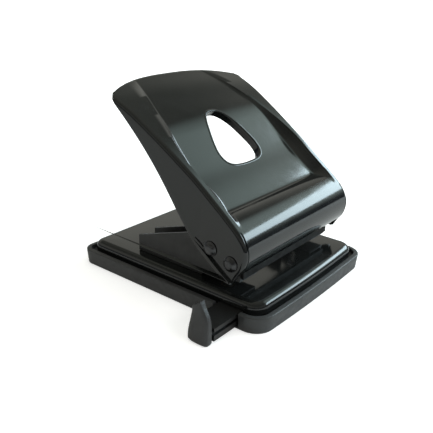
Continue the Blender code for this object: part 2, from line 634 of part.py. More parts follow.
def round_roll(start, end, count, radius=ROLL_RADIUS):
    """Points round the roll between two angles in degrees."""
    angle = np.radians(np.linspace(start, end, count))
    return np.column_stack([ROLL_Y + radius * np.cos(angle), ROLL_Z + radius * np.sin(angle)])


def side_view(table):
    """A table of shares of HANDLE_LONG as real places, from the point where the sides leave the roll."""
    return np.array(table) * HANDLE_LONG + round_roll(ROLL_OUT_ANGLE, ROLL_OUT_ANGLE, 1)


def outward(line):
    """Unit tangent of a side view line and the unit normal that points out of the handle."""
    step = np.gradient(line, axis=0)
    tangent = step / np.linalg.norm(step, axis=1)[:, None]
    return tangent, np.column_stack([-tangent[:, 1], tangent[:, 0]])


def handle_stations():
    """The side view at every station: top of the side, its lower edge, panel middle, bend radius and row.

    Stations 0 to ROLL_STEPS lie round the roll. The rest run up the top to the free end.
    """
    shares = np.array(SIDE_shares)
    crown, lower_edge, panel = (side_view(shares[:, i:i + 2]) for i in (0, 2, 4))
    last = len(shares) - 1
    up = np.concatenate([np.linspace(0, CREASE_ROW, CREASE_STEPS + 1)[1:],
                         np.linspace(CREASE_ROW, last, TOP_STEPS + 1)[1:]])
    pivot = np.array([PIVOT_Y, PIVOT_Z])
    low_front = np.array(FRONT_shares) * LEVER_ARM + pivot
    high_front = round_roll(ROLL_SIDE_ANGLE, ROLL_OUT_ANGLE, ROLL_STEPS + 1 - len(low_front))
    top = np.vstack([low_front, high_front, curve_at(crown, up)])
    lobe = np.vstack([np.array(LOBE_shares) * LEVER_ARM + pivot, lower_edge[:1]])
    lower = np.vstack([curve_at(lobe, np.linspace(0, len(lobe) - 1, ROLL_STEPS + 1)), curve_at(lower_edge, up)])
    over_roll = curve_at(np.vstack([high_front[-2:-1], panel[:CREASE_ROW + 1]]), up[:CREASE_STEPS] + 1)
    panel_up = curve_at(panel[CREASE_ROW:], up[CREASE_STEPS:] - CREASE_ROW)
    middle = np.vstack([round_roll(ROLL_LIP_ANGLE, ROLL_OUT_ANGLE, ROLL_STEPS + 1), over_roll, panel_up])
    bend = np.full(len(top), SIDE_BEND)
    bend[:len(FRONT_BEND_shares)] *= FRONT_BEND_shares
    deep = ((top - lower) * outward(top)[1]).sum(axis=1)[ROLL_STEPS:]
    bend[ROLL_STEPS:] = np.minimum(SIDE_BEND, BEND_OF_DEPTH_share * deep)
    return top, lower, middle, bend, np.concatenate([np.zeros(ROLL_STEPS + 1), up])


def slope_down(share):
    """Depth of the panel's slope at a share of its width: a firm bend at the top, a soft one at the foot."""
    soft = share * share * (3 - 2 * share)
    firm = 1 - (1 - share) ** 2
    return (soft + firm) / 2


def handle_surface():
    """The sheet's outer face as points (station, column, xyz), and which of its cells are left open."""
    top, lower, middle, bend, rows = handle_stations()
    last = rows[-1]
    tangent, normal = outward(top)
    wide = HANDLE_OUT + HANDLE_FLARE * np.clip((rows - FLARE_FROM) / (last - FLARE_FROM), 0, 1)
    edge, foot = curve_at(PANEL_shares, rows).T
    ramp = np.clip((rows / last - BULGE_FROM_share) / (1 - BULGE_FROM_share), 0, 1)
    shoulder = top - normal * bend[:, None]
    columns = []

    def add_column(x, flat, bulge):
        """One column of the sheet, its rounded corner at the free end drawn back."""
        round_in = np.clip((x / wide - END_CORNER_share) / (1 - END_CORNER_share), 0, 1)
        drawn = END_CORNER * (1 - np.sqrt(1 - round_in ** 2))
        columns.append(np.column_stack([x, flat + tangent * ((bulge - drawn) * ramp)[:, None]]))

    for k in range(SIDE_ROWS):
        add_column(wide, lower + (shoulder - lower) * (k / SIDE_ROWS), 0)
    for k in range(BEND_STEPS + 1):
        angle = math.pi / 2 * k / BEND_STEPS
        add_column(wide - bend * (1 - math.cos(angle)), shoulder + normal * (bend * math.sin(angle))[:, None], 0)
    crown = np.where((rows > 0)[:, None], top, middle)
    across = [(edge ** 0, 0), ((1 + edge) / 2, 0)]
    across += [(edge + (foot - edge) * down, down) for down in SLOPE_shares]
    across += [(foot * inner, 1) for inner in FLOOR_shares]
    for place, down in across:
        x = place * ROLL_HALF * wide / HANDLE_OUT
        flat = crown + (middle - crown) * slope_down(down)
        add_column(x, flat, END_BULGE * (1 - (x / wide) ** BULGE_POWER))
    half = np.stack(columns, axis=1)
    mirror = half[:, -2::-1].copy()
    mirror[:, :, 0] *= -1
    points = np.concatenate([half, mirror], axis=1)
    seam = SIDE_ROWS + BEND_STEPS
    opened = np.zeros((points.shape[0] - 1, points.shape[1] - 1), bool)
    opened[:ROLL_STEPS, [seam, points.shape[1] - 2 - seam]] = True
    return points, opened


def make_handle(paint):
    """One pressed sheet: sides, rounded shoulders, a sunk panel with a window and a rolled front."""
    points, opened = handle_surface()
    stations, columns = points.shape[:2]
    verts = points.reshape(-1, 3).tolist()
    faces = []
    for i in range(stations - 1):
        for j in range(columns - 1):
            if not opened[i, j]:
                a = i * columns + j
                faces.append((a, a + columns, a + columns + 1, a + 1))
    mesh = bpy.data.meshes.new("handle")
    mesh.from_pydata(verts, [], faces)
    mesh.shade_smooth()
    mesh.materials.append(paint)
    handle = bpy.data.objects.new("handle", mesh)
    bpy.context.collection.objects.link(handle)
    sheet = handle.modifiers.new("sheet", "SOLIDIFY")
    sheet.thickness = HANDLE_SHEET
    sheet.offset = -1
    sheet.use_even_offset = True
    panel = side_view(np.array(SIDE_shares)[:, 4:6])
    near = curve_at(panel, [WINDOW_PLACE - 1, WINDOW_PLACE, WINDOW_PLACE + 1])
    along = (near[2] - near[0]) / np.linalg.norm(near[2] - near[0])
    down = np.array([along[1], -along[0]])
    outline = smooth_line(WINDOW_shares, WINDOW_STEPS) * WINDOW_LENGTH
    outline = np.vstack([outline, (outline * [-1, 1])[-2:0:-1]])

    def window_ring(grow, depth):
        """The window's outline, grown sideways and set at a depth below the panel."""
        step = np.roll(outline, -1, axis=0) - np.roll(outline, 1, axis=0)
        out = np.column_stack([-step[:, 1], step[:, 0]]) / np.linalg.norm(step, axis=1)[:, None]
        flat = outline + out * grow
        side = near[1] + flat[:, 1:] * along + down * depth
        return np.column_stack([flat[:, 0], side]).tolist()

    rim = loft("window_rim", [window_ring(WINDOW_RIM, WINDOW_RIM_TOP), window_ring(WINDOW_RIM, WINDOW_RIM_DEEP)], None)
    combine(handle, rim, "UNION")
    deep = 2 * WINDOW_RIM_DEEP
    hole = loft("window_cut", [window_ring(0, -deep), window_ring(0, deep)], None)
    combine(handle, hole)
    for name, y, z in (("pivot", PIVOT_Y, PIVOT_Z), ("drive", DRIVE_Y, DRIVE_Z)):
        wide = HANDLE_OUT + OVERRUN
        combine(handle, rod(name + "_shaft_cut", SHAFT_RADIUS + RUN, "X", (0, y, z), -wide, wide))
    return handle


# Paper guide
def make_guide(steel, plastic):
    """The sliding bar, its end stop, and the two rails under the plate that carry it."""
    y0, y1, z0, z1 = BAR_Y0, BAR_Y1, BAR_Z0, BAR_Z1
    low = z0 + BAR_GROOVE_FOOT
    high = low + BAR_GROOVE_HIGH
    outline = [(y0, z0), (y1, z0), (y1, low), (y1 - BAR_GROOVE, low), (y1 - BAR_GROOVE, high), (y1, high),
               (y1, z1), (y0, z1), (y0, high), (y0 + BAR_GROOVE, high), (y0 + BAR_GROOVE, low), (y0, low)]
    prism("guide_bar", outline, "X", BAR_X0, BAR_X1, plastic)
    hang, foot, lip = PLATE_UNDER - TOUCH, low + TOUCH, high - TOUCH
    for name, edge, out in (("guide_rail_front", y0, -1), ("guide_rail_rear", y1, 1)):
        face = edge + out * TOUCH
        back = face + out * RAIL_SHEET
        tip = edge - out * RAIL_LIP
        rail = [(face, hang), (back, hang), (back, foot), (tip, foot), (tip, lip), (face, lip)]
        prism(name, rail, "X", RAIL_X0, RAIL_X0 + RAIL_LENGTH, steel)


def make_guide_stop(plastic):
    """The upright stop on the bar's end: rounded at its front top, swelling outwards at its foot."""
    inner = BAR_X0 - TOUCH
    rings = []
    for high, front, rear, thick in STOP_shares:
        z = STOP_FOOT + (STOP_HEIGHT - STOP_FOOT) * high
        y0, y1 = BAR_Y0 + BAR_WIDTH * front, BAR_Y0 + BAR_WIDTH * rear
        ring = [(inner, y0, z), (inner, y1, z)]
        for k in range(STOP_STEPS + 1):
            share = k / STOP_STEPS
            swell = STOP_EDGE_share + (1 - STOP_EDGE_share) * math.sin(math.pi * share)
            ring.append((inner - STOP_THICK * thick * swell, y1 + (y0 - y1) * share, z))
        rings.append(ring)
    loft("guide_stop", rings, plastic, smooth=50.0)


# Frames of the moving pieces
def axis_empty(name, place, parent=None):
    """An empty on a joint's axis."""
    empty = bpy.data.objects.new(name, None)
    bpy.context.collection.objects.link(empty)
    start = Vector(parent["place"]) if parent else Vector((0, 0, 0))
    empty.location = Vector(place) - start
    empty["place"] = tuple(place)
    empty.parent = parent
    return empty


def hang_on(empty, names):
    """Hangs pieces on an empty and leaves them where they are."""
    for name in names:
        piece = bpy.data.objects[name]
        piece.parent = empty
        piece.location = -Vector(empty["place"])


def main():
    clear_scene()
    enamel = material("black_enamel", (0.012, 0.013, 0.014), 0.16, 0.0)
    satin = material("black_satin", (0.020, 0.020, 0.021), 0.42, 0.0)
    tray_grey = material("dark_plastic", (0.040, 0.041, 0.043), 0.48, 0.0)
    guide_grey = material("guide_plastic", (0.052, 0.053, 0.055), 0.40, 0.0)
    paints = {
        "ground_steel": material("ground_steel", (0.56, 0.57, 0.58), 0.24, 1.0),
        "zinc": material("zinc_plate", (0.62, 0.63, 0.65), 0.34, 1.0),
        "bronze": material("sintered_bronze", (0.52, 0.36, 0.18), 0.42, 1.0),
        "spring_steel": material("spring_steel", (0.34, 0.35, 0.37), 0.30, 1.0),
        "blackened": material("blackened_steel", (0.045, 0.046, 0.050), 0.30, 1.0),
    }
    make_tray(tray_grey)
    make_plate(enamel)
    make_throat_strip(satin)
    for side, sign in SIDES:
        make_bracket(side, sign, satin)
        make_bracket_rivets(side, sign, paints["blackened"])
        make_punch(side, sign, paints)
    make_handle(enamel)
    make_shaft("pivot_shaft", PIVOT_Y, PIVOT_Z, paints["blackened"])
    make_shaft("drive_shaft", DRIVE_Y, DRIVE_Z, paints["blackened"])
    make_spacers(guide_grey)
    make_guide(paints["zinc"], guide_grey)
    make_guide_stop(guide_grey)

    base = axis_empty("base_axis", (0, HINGE_Y, HINGE_HIGH))
    handle = axis_empty("handle_axis", (0, PIVOT_Y, PIVOT_Z), base)
    guide = axis_empty("guide_axis", (BAR_X0, (BAR_Y0 + BAR_Y1) / 2, (BAR_Z0 + BAR_Z1) / 2), base)
    both = [side for side, sign in SIDES]
    fixed = ["bracket", "punch_guide", "die", "return_spring", "bracket_rivet_front", "bracket_rivet_rear"]
    hang_on(base, ["base_plate", "throat_strip", "guide_rail_front", "guide_rail_rear"]
            + [side + "_" + name for side in both for name in fixed])
    hang_on(handle, ["handle", "pivot_shaft", "drive_shaft"] + [side + "_pivot_spacer" for side in both])
    hang_on(guide, ["guide_bar", "guide_stop"])
    for side, sign in SIDES:
        pin = axis_empty(side + "_pin_axis", (sign * BRACKET_X, PUNCH_Y, PIN_TOP), base)
        hang_on(pin, [side + "_punch_pin", side + "_pin_collar"])


main()
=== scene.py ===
# %% [markdown]
# # A two-hole punch, dressed for the studio
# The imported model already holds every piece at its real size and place. This lesson adds what makes
# it look real: the enamel, the moulded plastic, the steel, and the light that shows them. Everything
# is in metres. The desk is at height nought, and the punch's front faces minus Y.

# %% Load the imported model
import math

import bpy
import numpy as np
from mathutils import Matrix, Vector


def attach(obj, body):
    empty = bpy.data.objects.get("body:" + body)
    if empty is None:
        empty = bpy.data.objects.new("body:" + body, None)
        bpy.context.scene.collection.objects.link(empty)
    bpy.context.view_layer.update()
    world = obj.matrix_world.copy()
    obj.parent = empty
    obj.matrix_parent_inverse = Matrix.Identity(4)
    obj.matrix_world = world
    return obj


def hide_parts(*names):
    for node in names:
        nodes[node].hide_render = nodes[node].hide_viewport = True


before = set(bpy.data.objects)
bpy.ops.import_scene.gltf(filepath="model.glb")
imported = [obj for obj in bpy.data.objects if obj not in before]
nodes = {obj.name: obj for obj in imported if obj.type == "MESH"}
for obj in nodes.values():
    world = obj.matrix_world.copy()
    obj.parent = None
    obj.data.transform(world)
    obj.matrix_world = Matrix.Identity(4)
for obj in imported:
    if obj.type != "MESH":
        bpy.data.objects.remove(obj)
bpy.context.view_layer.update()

# %% [markdown]
# ## The camera
# The photograph was taken from the front left and a little above, from about forty centimetres away.
# A camera can be placed by eye, but here it was fitted: the corners of the tray were matched with
# their places in the picture, and that gives the place, the three turns and the lens at once. A
# fitted camera is chosen because then each piece falls on the same pixel as in the picture.

# %% Place the camera
PICTURE_PIXELS = 433
LENS_PIXELS = 596.11
CAMERA_PLACE = Vector((-0.29529, -0.22190, 0.18196))
CAMERA_YAW, CAMERA_PITCH, CAMERA_ROLL = 52.15, 21.87, 1.73


def camera_turn(yaw, pitch, roll):
    """Three unit vectors of the camera. Forward is level at the yaw from +Y towards +X, then dips by
    the pitch. Right is level, and both right and up are then turned about forward by the roll."""
    yaw, pitch, roll = (math.radians(a) for a in (yaw, pitch, roll))
    forward = Vector(
        (math.sin(yaw) * math.cos(pitch), math.cos(yaw) * math.cos(pitch), -math.sin(pitch))
    )
    level = Vector((math.cos(yaw), -math.sin(yaw), 0.0))
    above = level.cross(forward)
    right = math.cos(roll) * level + math.sin(roll) * above
    up = -math.sin(roll) * level + math.cos(roll) * above
    return right, up, forward


right, up, forward = camera_turn(CAMERA_YAW, CAMERA_PITCH, CAMERA_ROLL)
lens = bpy.data.cameras.new("studio_camera")
lens.sensor_width = 36.0
lens.lens = LENS_PIXELS * lens.sensor_width / PICTURE_PIXELS
lens.clip_start = 0.01
camera = bpy.data.objects.new("studio_camera", lens)
bpy.context.scene.collection.objects.link(camera)
turn = Matrix((right, up, -forward)).transposed().to_4x4()
camera.matrix_world = Matrix.Translation(CAMERA_PLACE) @ turn
bpy.context.scene.camera = camera
print("lens", round(lens.lens, 2), "mm")

# %% [markdown]
# ## Floor and light
# Black enamel has almost no colour of its own, so what it shows is its surroundings. A studio hangs
# large soft panels round such a thing: here one long cool panel low on the right draws the bright
# stripe along the rolled front, and a wide one overhead fills the top. The floor is a plain white
# sheet that keeps a soft shadow. Far out it would fall off to grey, so there some brightness of its
# own is added, for the camera and for mirror rays alone.

# %% Lay the floor
FLOOR_REACH, FLOOR_WHITE = 9.0, 0.80
NEAR, FAR = 0.18, 0.65                  # metres from the middle of the floor
NEAR_GLOW, FAR_GLOW = 0.60, 1.0         # the floor's own brightness at those two distances
MIRROR_GLOW = 0.10                      # and what a mirror ray sees of it


def wire(tree, *pairs):
    """Joins pairs of sockets: an output and the input that it feeds."""
    for source, target in pairs:
        tree.links.new(source, target)


def sheet_of_floor(reach):
    """A flat triangle at height nought, its corners at even angles and its normal up."""
    mesh = bpy.data.meshes.new("floor")
    angle = np.radians((-90, 30, 150))
    corners = reach * np.column_stack([np.cos(angle), np.sin(angle), np.zeros(3)])
    mesh.from_pydata(corners.tolist(), [], [(0, 1, 2)])
    floor = bpy.data.objects.new("floor", mesh)
    bpy.context.scene.collection.objects.link(floor)
    return floor


def white_paper():
    """Diffuse white, with light of its own that only camera and mirror rays see. For the camera it
    grows with the distance from the middle of the sheet, read from Object coordinates."""
    paper = bpy.data.materials.new("white_paper")
    paper.use_nodes = True
    tree = paper.node_tree
    tree.nodes.clear()
    add = tree.nodes.new
    out, both = add("ShaderNodeOutputMaterial"), add("ShaderNodeAddShader")
    matt, glow = add("ShaderNodeBsdfDiffuse"), add("ShaderNodeEmission")
    seen, either = add("ShaderNodeLightPath"), add("ShaderNodeMath")
    mirrored, part = add("ShaderNodeMath"), add("ShaderNodeMath")
    coords, away = add("ShaderNodeTexCoord"), add("ShaderNodeVectorMath")
    grow = add("ShaderNodeMapRange")
    matt.inputs["Color"].default_value = (FLOOR_WHITE, FLOOR_WHITE, FLOOR_WHITE, 1)
    glow.inputs["Color"].default_value = (1, 1, 1, 1)
    away.operation, mirrored.operation, part.operation = "LENGTH", "MULTIPLY", "MULTIPLY_ADD"
    either.operation, mirrored.inputs[1].default_value = "MAXIMUM", MIRROR_GLOW
    grow.inputs["From Min"].default_value, grow.inputs["From Max"].default_value = NEAR, FAR
    grow.inputs["To Min"].default_value, grow.inputs["To Max"].default_value = NEAR_GLOW, FAR_GLOW
    wire(
        tree,
        (coords.outputs["Object"], away.inputs[0]),
        (away.outputs["Value"], grow.inputs["Value"]),
        (seen.outputs["Is Glossy Ray"], either.inputs[0]),
        (seen.outputs["Is Transmission Ray"], either.inputs[1]),
        (either.outputs[0], mirrored.inputs[0]),
        (seen.outputs["Is Camera Ray"], part.inputs[0]),
        (grow.outputs["Result"], part.inputs[1]),
        (mirrored.outputs[0], part.inputs[2]),
        (part.outputs[0], glow.inputs["Strength"]),
        (matt.outputs[0], both.inputs[0]),
        (glow.outputs[0], both.inputs[1]),
        (both.outputs[0], out.inputs["Surface"]),
    )
    return paper


floor = sheet_of_floor(FLOOR_REACH)
floor.data.materials.append(white_paper())
print("floor laid, its corners", FLOOR_REACH, "m away")

# %% Paint the room round the punch
# Each colour's height is the sine of its angle above the level.
ROOM_COLOURS = (
    (0.08, (0.020, 0.024, 0.045)),      # the dim walls, a little blue
    (0.36, (0.40, 0.40, 0.36)),
    (0.50, (0.38, 0.38, 0.34)),
    (0.66, (0.13, 0.135, 0.115)),
    (0.78, (0.22, 0.225, 0.19)),
    (0.95, (0.32, 0.32, 0.27)),         # the ceiling
)
world = bpy.data.worlds.new("studio")
bpy.context.scene.world = world
world.use_nodes = True
sky = world.node_tree
sky.nodes.clear()
around = sky.nodes.new("ShaderNodeTexCoord")
height = sky.nodes.new("ShaderNodeSeparateXYZ")
walls = sky.nodes.new("ShaderNodeValToRGB")
stops = walls.color_ramp.elements
stops[0].position, stops[1].position = ROOM_COLOURS[0][0], ROOM_COLOURS[-1][0]
for place, _ in ROOM_COLOURS[1:-1]:
    stops.new(place)
for stop, (_, colour) in zip(stops, ROOM_COLOURS):
    stop.color = (*colour, 1)
print("room colours:", len(stops))

# %% Brighten the room behind the punch, and round the long panel
TOWARD_BACK = (-0.6, 0.6)               # how far a direction points to the back
ROOM_POWER = (0.85, 1.60)               # and the room's strength there
HALO_LINE = Vector((0.747, -0.381, 0.545))
HALO_COSINES = (0.89, 1.0)              # the halo's outer edge and its middle
HALO_COLOUR = (1.15, 1.50, 1.45)
toward = sky.nodes.new("ShaderNodeMapRange")
toward.inputs["From Min"].default_value, toward.inputs["From Max"].default_value = TOWARD_BACK
toward.inputs["To Min"].default_value, toward.inputs["To Max"].default_value = ROOM_POWER
near_line = sky.nodes.new("ShaderNodeVectorMath")
near_line.operation = "DOT_PRODUCT"
near_line.inputs[1].default_value = HALO_LINE.normalized()
halo = sky.nodes.new("ShaderNodeMapRange")
halo.interpolation_type = "SMOOTHSTEP"
halo.inputs["From Min"].default_value, halo.inputs["From Max"].default_value = HALO_COSINES
halo_colour = sky.nodes.new("ShaderNodeVectorMath")
halo_colour.operation = "SCALE"
halo_colour.inputs[0].default_value = HALO_COLOUR
lit_room = sky.nodes.new("ShaderNodeVectorMath")
lit_room.operation = "ADD"

# %% Show the room to mirrors and lights, and plain white to the camera
world_out = sky.nodes.new("ShaderNodeOutputWorld")
room = sky.nodes.new("ShaderNodeBackground")
backdrop = sky.nodes.new("ShaderNodeBackground")
backdrop.inputs["Color"].default_value = (1, 1, 1, 1)
pick = sky.nodes.new("ShaderNodeMixShader")
path = sky.nodes.new("ShaderNodeLightPath")
wire(
    sky,
    (around.outputs["Generated"], height.inputs[0]),
    (height.outputs["Z"], walls.inputs["Fac"]),
    (around.outputs["Generated"], near_line.inputs[0]),
    (near_line.outputs["Value"], halo.inputs["Value"]),
    (halo.outputs["Result"], halo_colour.inputs["Scale"]),
    (walls.outputs["Color"], lit_room.inputs[0]),
    (halo_colour.outputs["Vector"], lit_room.inputs[1]),
    (lit_room.outputs["Vector"], room.inputs["Color"]),
    (height.outputs["Y"], toward.inputs["Value"]),
    (toward.outputs["Result"], room.inputs["Strength"]),
    (path.outputs["Is Camera Ray"], pick.inputs["Fac"]),
    (room.outputs[0], pick.inputs[1]),
    (backdrop.outputs[0], pick.inputs[2]),
    (pick.outputs[0], world_out.inputs["Surface"]),
)
print("sky nodes:", len(sky.nodes))


# %% Hang the lamps
def hang_lamp(name, place, aim, width, height, power, colour, mirrored):
    """A soft panel at a place, facing a point: its minus Z looks along the line to the aim. Where it
    isn't mirrored, it lights the punch but makes no patch in the gloss."""
    lamp = bpy.data.lights.new(name, "AREA")
    lamp.shape = "RECTANGLE"
    lamp.size, lamp.size_y, lamp.energy, lamp.color = width, height, power, colour
    thing = bpy.data.objects.new(name, lamp)
    bpy.context.scene.collection.objects.link(thing)
    thing.location = place
    thing.rotation_euler = (Vector(aim) - Vector(place)).to_track_quat("-Z", "Y").to_euler()
    thing.visible_glossy = mirrored
    return thing


LAMPS = (
    ("stripe_panel", (1.09, -0.59, 0.62), (0, -0.04, 0.045), 1.5, 0.34, 14, (0.72, 0.90, 1.0), True),
    ("front_panel", (0.05, -1.5, 0.75), (0, 0, 0.03), 1.0, 0.5, 10, (1, 1, 1), False),
    ("top_panel", (0.1, 0.2, 1.6), (0, 0, 0.05), 1.3, 1.3, 6, (1, 1, 0.97), False),
)
for lamp in LAMPS:
    hang_lamp(*lamp)
bpy.context.scene.view_settings.view_transform = "Standard"
print("lamps:", [lamp[0] for lamp in LAMPS])

# %% [markdown]
# ## The finishes
# The handle and the base plate are pressed steel, dipped in gloss black enamel. The brackets are a
# duller black. The tray and the paper guide are moulded plastic with a fine grain. Each finish could
# be one flat colour, but real ones vary: enamel has the slow waves of orange peel, plastic a fine
# grain. So each has a pattern in Object coordinates, which are metres here, as nothing is scaled.

# %% Wire up a finish
def new_finish(name, colour, roughness, metallic=0.0):
    """A Principled material whose constants sit on its own sockets."""
    paint = bpy.data.materials.new(name)
    paint.use_nodes = True
    shader = paint.node_tree.nodes["Principled BSDF"]
    shader.inputs["Base Color"].default_value = (*colour, 1)
    shader.inputs["Roughness"].default_value = roughness
    shader.inputs["Metallic"].default_value = metallic
    return paint, paint.node_tree, shader


def pattern(tree, size, detail=2.0, stretch=(1, 1, 1)):
    """Noise in metres: its lumps are about the given size, longer along a stretched axis."""
    coords = tree.nodes.new("ShaderNodeTexCoord")
    place = tree.nodes.new("ShaderNodeMapping")
    noise = tree.nodes.new("ShaderNodeTexNoise")
    place.inputs["Scale"].default_value = [1 / s for s in stretch]
    noise.inputs["Scale"].default_value = 1 / size
    noise.inputs["Detail"].default_value = detail
    tree.links.new(coords.outputs["Object"], place.inputs["Vector"])
    tree.links.new(place.outputs["Vector"], noise.inputs["Vector"])
    return noise.outputs["Fac"]


def vary(tree, amount, socket, low, high):
    """Spread a pattern between two values (or colours) on a shader's socket."""
    ramp = tree.nodes.new("ShaderNodeValToRGB")
    ramp.color_ramp.elements[0].position = 0.35
    ramp.color_ramp.elements[1].position = 0.65
    for element, value in zip(ramp.color_ramp.elements, (low, high)):
        element.color = (*value, 1) if hasattr(value, "__len__") else (value, value, value, 1)
    tree.links.new(amount, ramp.inputs["Fac"])
    tree.links.new(ramp.outputs["Color"], socket)


def roughen(tree, shader, amount, depth):
    """Bump of a real depth in metres, at full strength."""
    bump = tree.nodes.new("ShaderNodeBump")
    bump.inputs["Strength"].default_value = 1.0
    bump.inputs["Distance"].default_value = depth
    tree.links.new(amount, bump.inputs["Height"])
    tree.links.new(bump.outputs["Normal"], shader.inputs["Normal"])


# %% The two blacks of the steel
def gloss_enamel():
    """Near black with slow waves of tone and the fine unevenness of dipped enamel."""
    paint, tree, shader = new_finish("gloss_enamel", (0.009, 0.010, 0.010), 0.11)
    slow = pattern(tree, 0.020)
    vary(tree, slow, shader.inputs["Base Color"], (0.008, 0.009, 0.009), (0.011, 0.012, 0.012))
    vary(tree, pattern(tree, 0.006), shader.inputs["Roughness"], 0.09, 0.13)
    roughen(tree, shader, pattern(tree, 0.0012, 3.0), 0.00001)
    return paint


def satin_enamel():
    """The same black, dulled, for the brackets."""
    paint, tree, shader = new_finish("satin_enamel", (0.012, 0.012, 0.012), 0.42)
    vary(tree, pattern(tree, 0.012), shader.inputs["Base Color"], (0.010,) * 3, (0.014,) * 3)
    vary(tree, pattern(tree, 0.004), shader.inputs["Roughness"], 0.38, 0.46)
    roughen(tree, shader, pattern(tree, 0.0005, 3.0), 0.000015)
    return paint


# %% The moulded plastics
def moulded_plastic(name, colour, roughness):
    """Matt plastic, mottled a quarter lighter in places, with a fine grain."""
    paint, tree, shader = new_finish(name, colour, roughness)
    light = tuple(c * 1.25 for c in colour)
    vary(tree, pattern(tree, 0.015), shader.inputs["Base Color"], colour, light)
    vary(tree, pattern(tree, 0.003), shader.inputs["Roughness"], roughness - 0.05, roughness + 0.05)
    roughen(tree, shader, pattern(tree, 0.0003, 2.0), 0.00002)
    return paint


# %% The bare metals
def turned_metal(name, dark, light, roughness):
    """Bare metal between two tones, its fine marks drawn out along the turning axis."""
    paint, tree, shader = new_finish(name, dark, roughness, 1.0)
    vary(tree, pattern(tree, 0.004, 3.0), shader.inputs["Base Color"], dark, light)
    fine = pattern(tree, 0.0004, 2.0, (1, 1, 0.08))
    vary(tree, fine, shader.inputs["Roughness"], roughness - 0.06, roughness + 0.06)
    roughen(tree, shader, fine, 0.000004)
    return paint


enamel = gloss_enamel()
satin = satin_enamel()
tray_plastic = moulded_plastic("tray_plastic", (0.030, 0.031, 0.032), 0.48)
guide_plastic = moulded_plastic("guide_plastic", (0.026, 0.026, 0.027), 0.40)
bar_plastic = moulded_plastic("bar_plastic", (0.008, 0.008, 0.008), 0.45)
# Painted shade: the throat strip is made blacker than the enamel and its specular level is cut, so
# that it mirrors no floor and reads as the shade under the roll.
painted_shade_strip = moulded_plastic("painted_shade_strip", (0.006, 0.006, 0.006), 0.55)
painted_shade_strip.node_tree.nodes["Principled BSDF"].inputs["Specular IOR Level"].default_value = 0.15
ground_steel = turned_metal("ground_steel", (0.50, 0.50, 0.52), (0.60, 0.60, 0.62), 0.26)
zinc = turned_metal("zinc_plate", (0.52, 0.54, 0.56), (0.66, 0.68, 0.70), 0.34)
bronze = turned_metal("sintered_bronze", (0.42, 0.30, 0.18), (0.50, 0.37, 0.24), 0.45)
spring_steel = turned_metal("spring_steel", (0.30, 0.30, 0.32), (0.40, 0.40, 0.42), 0.30)
black_steel = turned_metal("blackened_steel", (0.055, 0.055, 0.057), (0.080, 0.080, 0.082), 0.28)

# %% [markdown]
# ## Tools for making pieces
# Every new piece is a grid of points worked out with numpy: one parameter runs along the piece, the
# other across or round it. Three small tools do the rest. One draws a smooth line through a few
# measured points, one softens a line, and one turns a grid into a mesh. A sheet that has holes is
# carved afterwards by solid cutters, which are thrown away once they have done their work.

# %% A smooth line through measured points
def smooth_through(points, at):
    """Natural cubic spline. The points lie one unit of the parameter apart. The bends M at the points
    solve M[i-1] + 4 M[i] + M[i+1] = 6 times the second difference, with no bend at either end, and
    each stretch is the cubic that has those bends at its two ends."""
    points, at = np.asarray(points, float), np.asarray(at, float)
    count = len(points)
    system = 4 * np.eye(count) + np.eye(count, k=1) + np.eye(count, k=-1)
    system[0], system[-1] = np.eye(count)[0], np.eye(count)[-1]
    right_side = np.zeros_like(points)
    right_side[1:-1] = 6 * (points[2:] - 2 * points[1:-1] + points[:-2])
    bend = np.linalg.solve(system, right_side)
    i = np.clip(np.floor(at).astype(int), 0, count - 2)
    t = (at - i)[:, None]
    s = 1 - t
    straight = s * points[i] + t * points[i + 1]
    return straight + ((s ** 3 - s) * bend[i] + (t ** 3 - t) * bend[i + 1]) / 6


def soften(line, reach):
    """Each point becomes the mean of its neighbours under a bell that is reach stations wide. Past an
    end the line goes on as its own point mirror, so both ends stay where they are."""
    width = int(4 * reach)
    bell = np.exp(-0.5 * (np.arange(-width, width + 1) / reach) ** 2)
    before = 2 * line[0] - line[width:0:-1]
    after = 2 * line[-1] - line[-2:-width - 2:-1]
    long = np.vstack([before, line, after])
    return np.column_stack([np.convolve(column, bell / bell.sum(), "valid") for column in long.T])


# %% A grid becomes a mesh
def mesh_of_grid(name, grid, round_rows=False, poles=(False, False), left_open=None, sharp=180.0):
    """Four-sided faces between neighbouring points of a grid (rows, points, xyz). With round_rows the
    last point of a row joins the first. A pole closes the first or last row with its mean point."""
    rows, count = grid.shape[:2]
    a = np.arange(rows * count).reshape(rows, count)
    if round_rows:
        low, high = a[:-1], a[1:]
        faces = np.stack([low, np.roll(low, -1, 1), np.roll(high, -1, 1), high], axis=-1)
    else:
        faces = np.stack([a[:-1, :-1], a[1:, :-1], a[1:, 1:], a[:-1, 1:]], axis=-1)
        if left_open is not None:
            faces = faces[~left_open]
    faces = faces.reshape(-1, 4).tolist()
    verts = grid.reshape(-1, 3)
    for row, wanted in zip((0, rows - 1), poles):
        if wanted:
            ring = a[row]
            after = np.roll(ring, -1)
            pole = np.full(count, len(verts))
            order = (after, ring, pole) if row == 0 else (ring, after, pole)
            faces += np.stack(order, axis=-1).tolist()
            verts = np.vstack([verts, grid[row].mean(axis=0)])
    mesh = bpy.data.meshes.new(name)
    mesh.from_pydata(verts.tolist(), [], faces)
    mesh.shade_smooth()
    if sharp < 180:
        mesh.set_sharp_from_angle(angle=math.radians(sharp))
    piece = bpy.data.objects.new(name, mesh)
    bpy.context.scene.collection.objects.link(piece)
    return piece


def is_inside_out(piece):
    """The sign of the volume that the faces enclose: the sum over triangles of a . (b x c) / 6."""
    piece.data.calc_loop_triangles()
    places = np.array([v.co[:] for v in piece.data.vertices])
    corners = np.array([t.vertices[:] for t in piece.data.loop_triangles])
    a, b, c = (places[corners[:, k]] for k in range(3))
    return np.einsum("ij,ij->i", a, np.cross(b, c)).sum() < 0


SHARP_ANGLE = 40.0


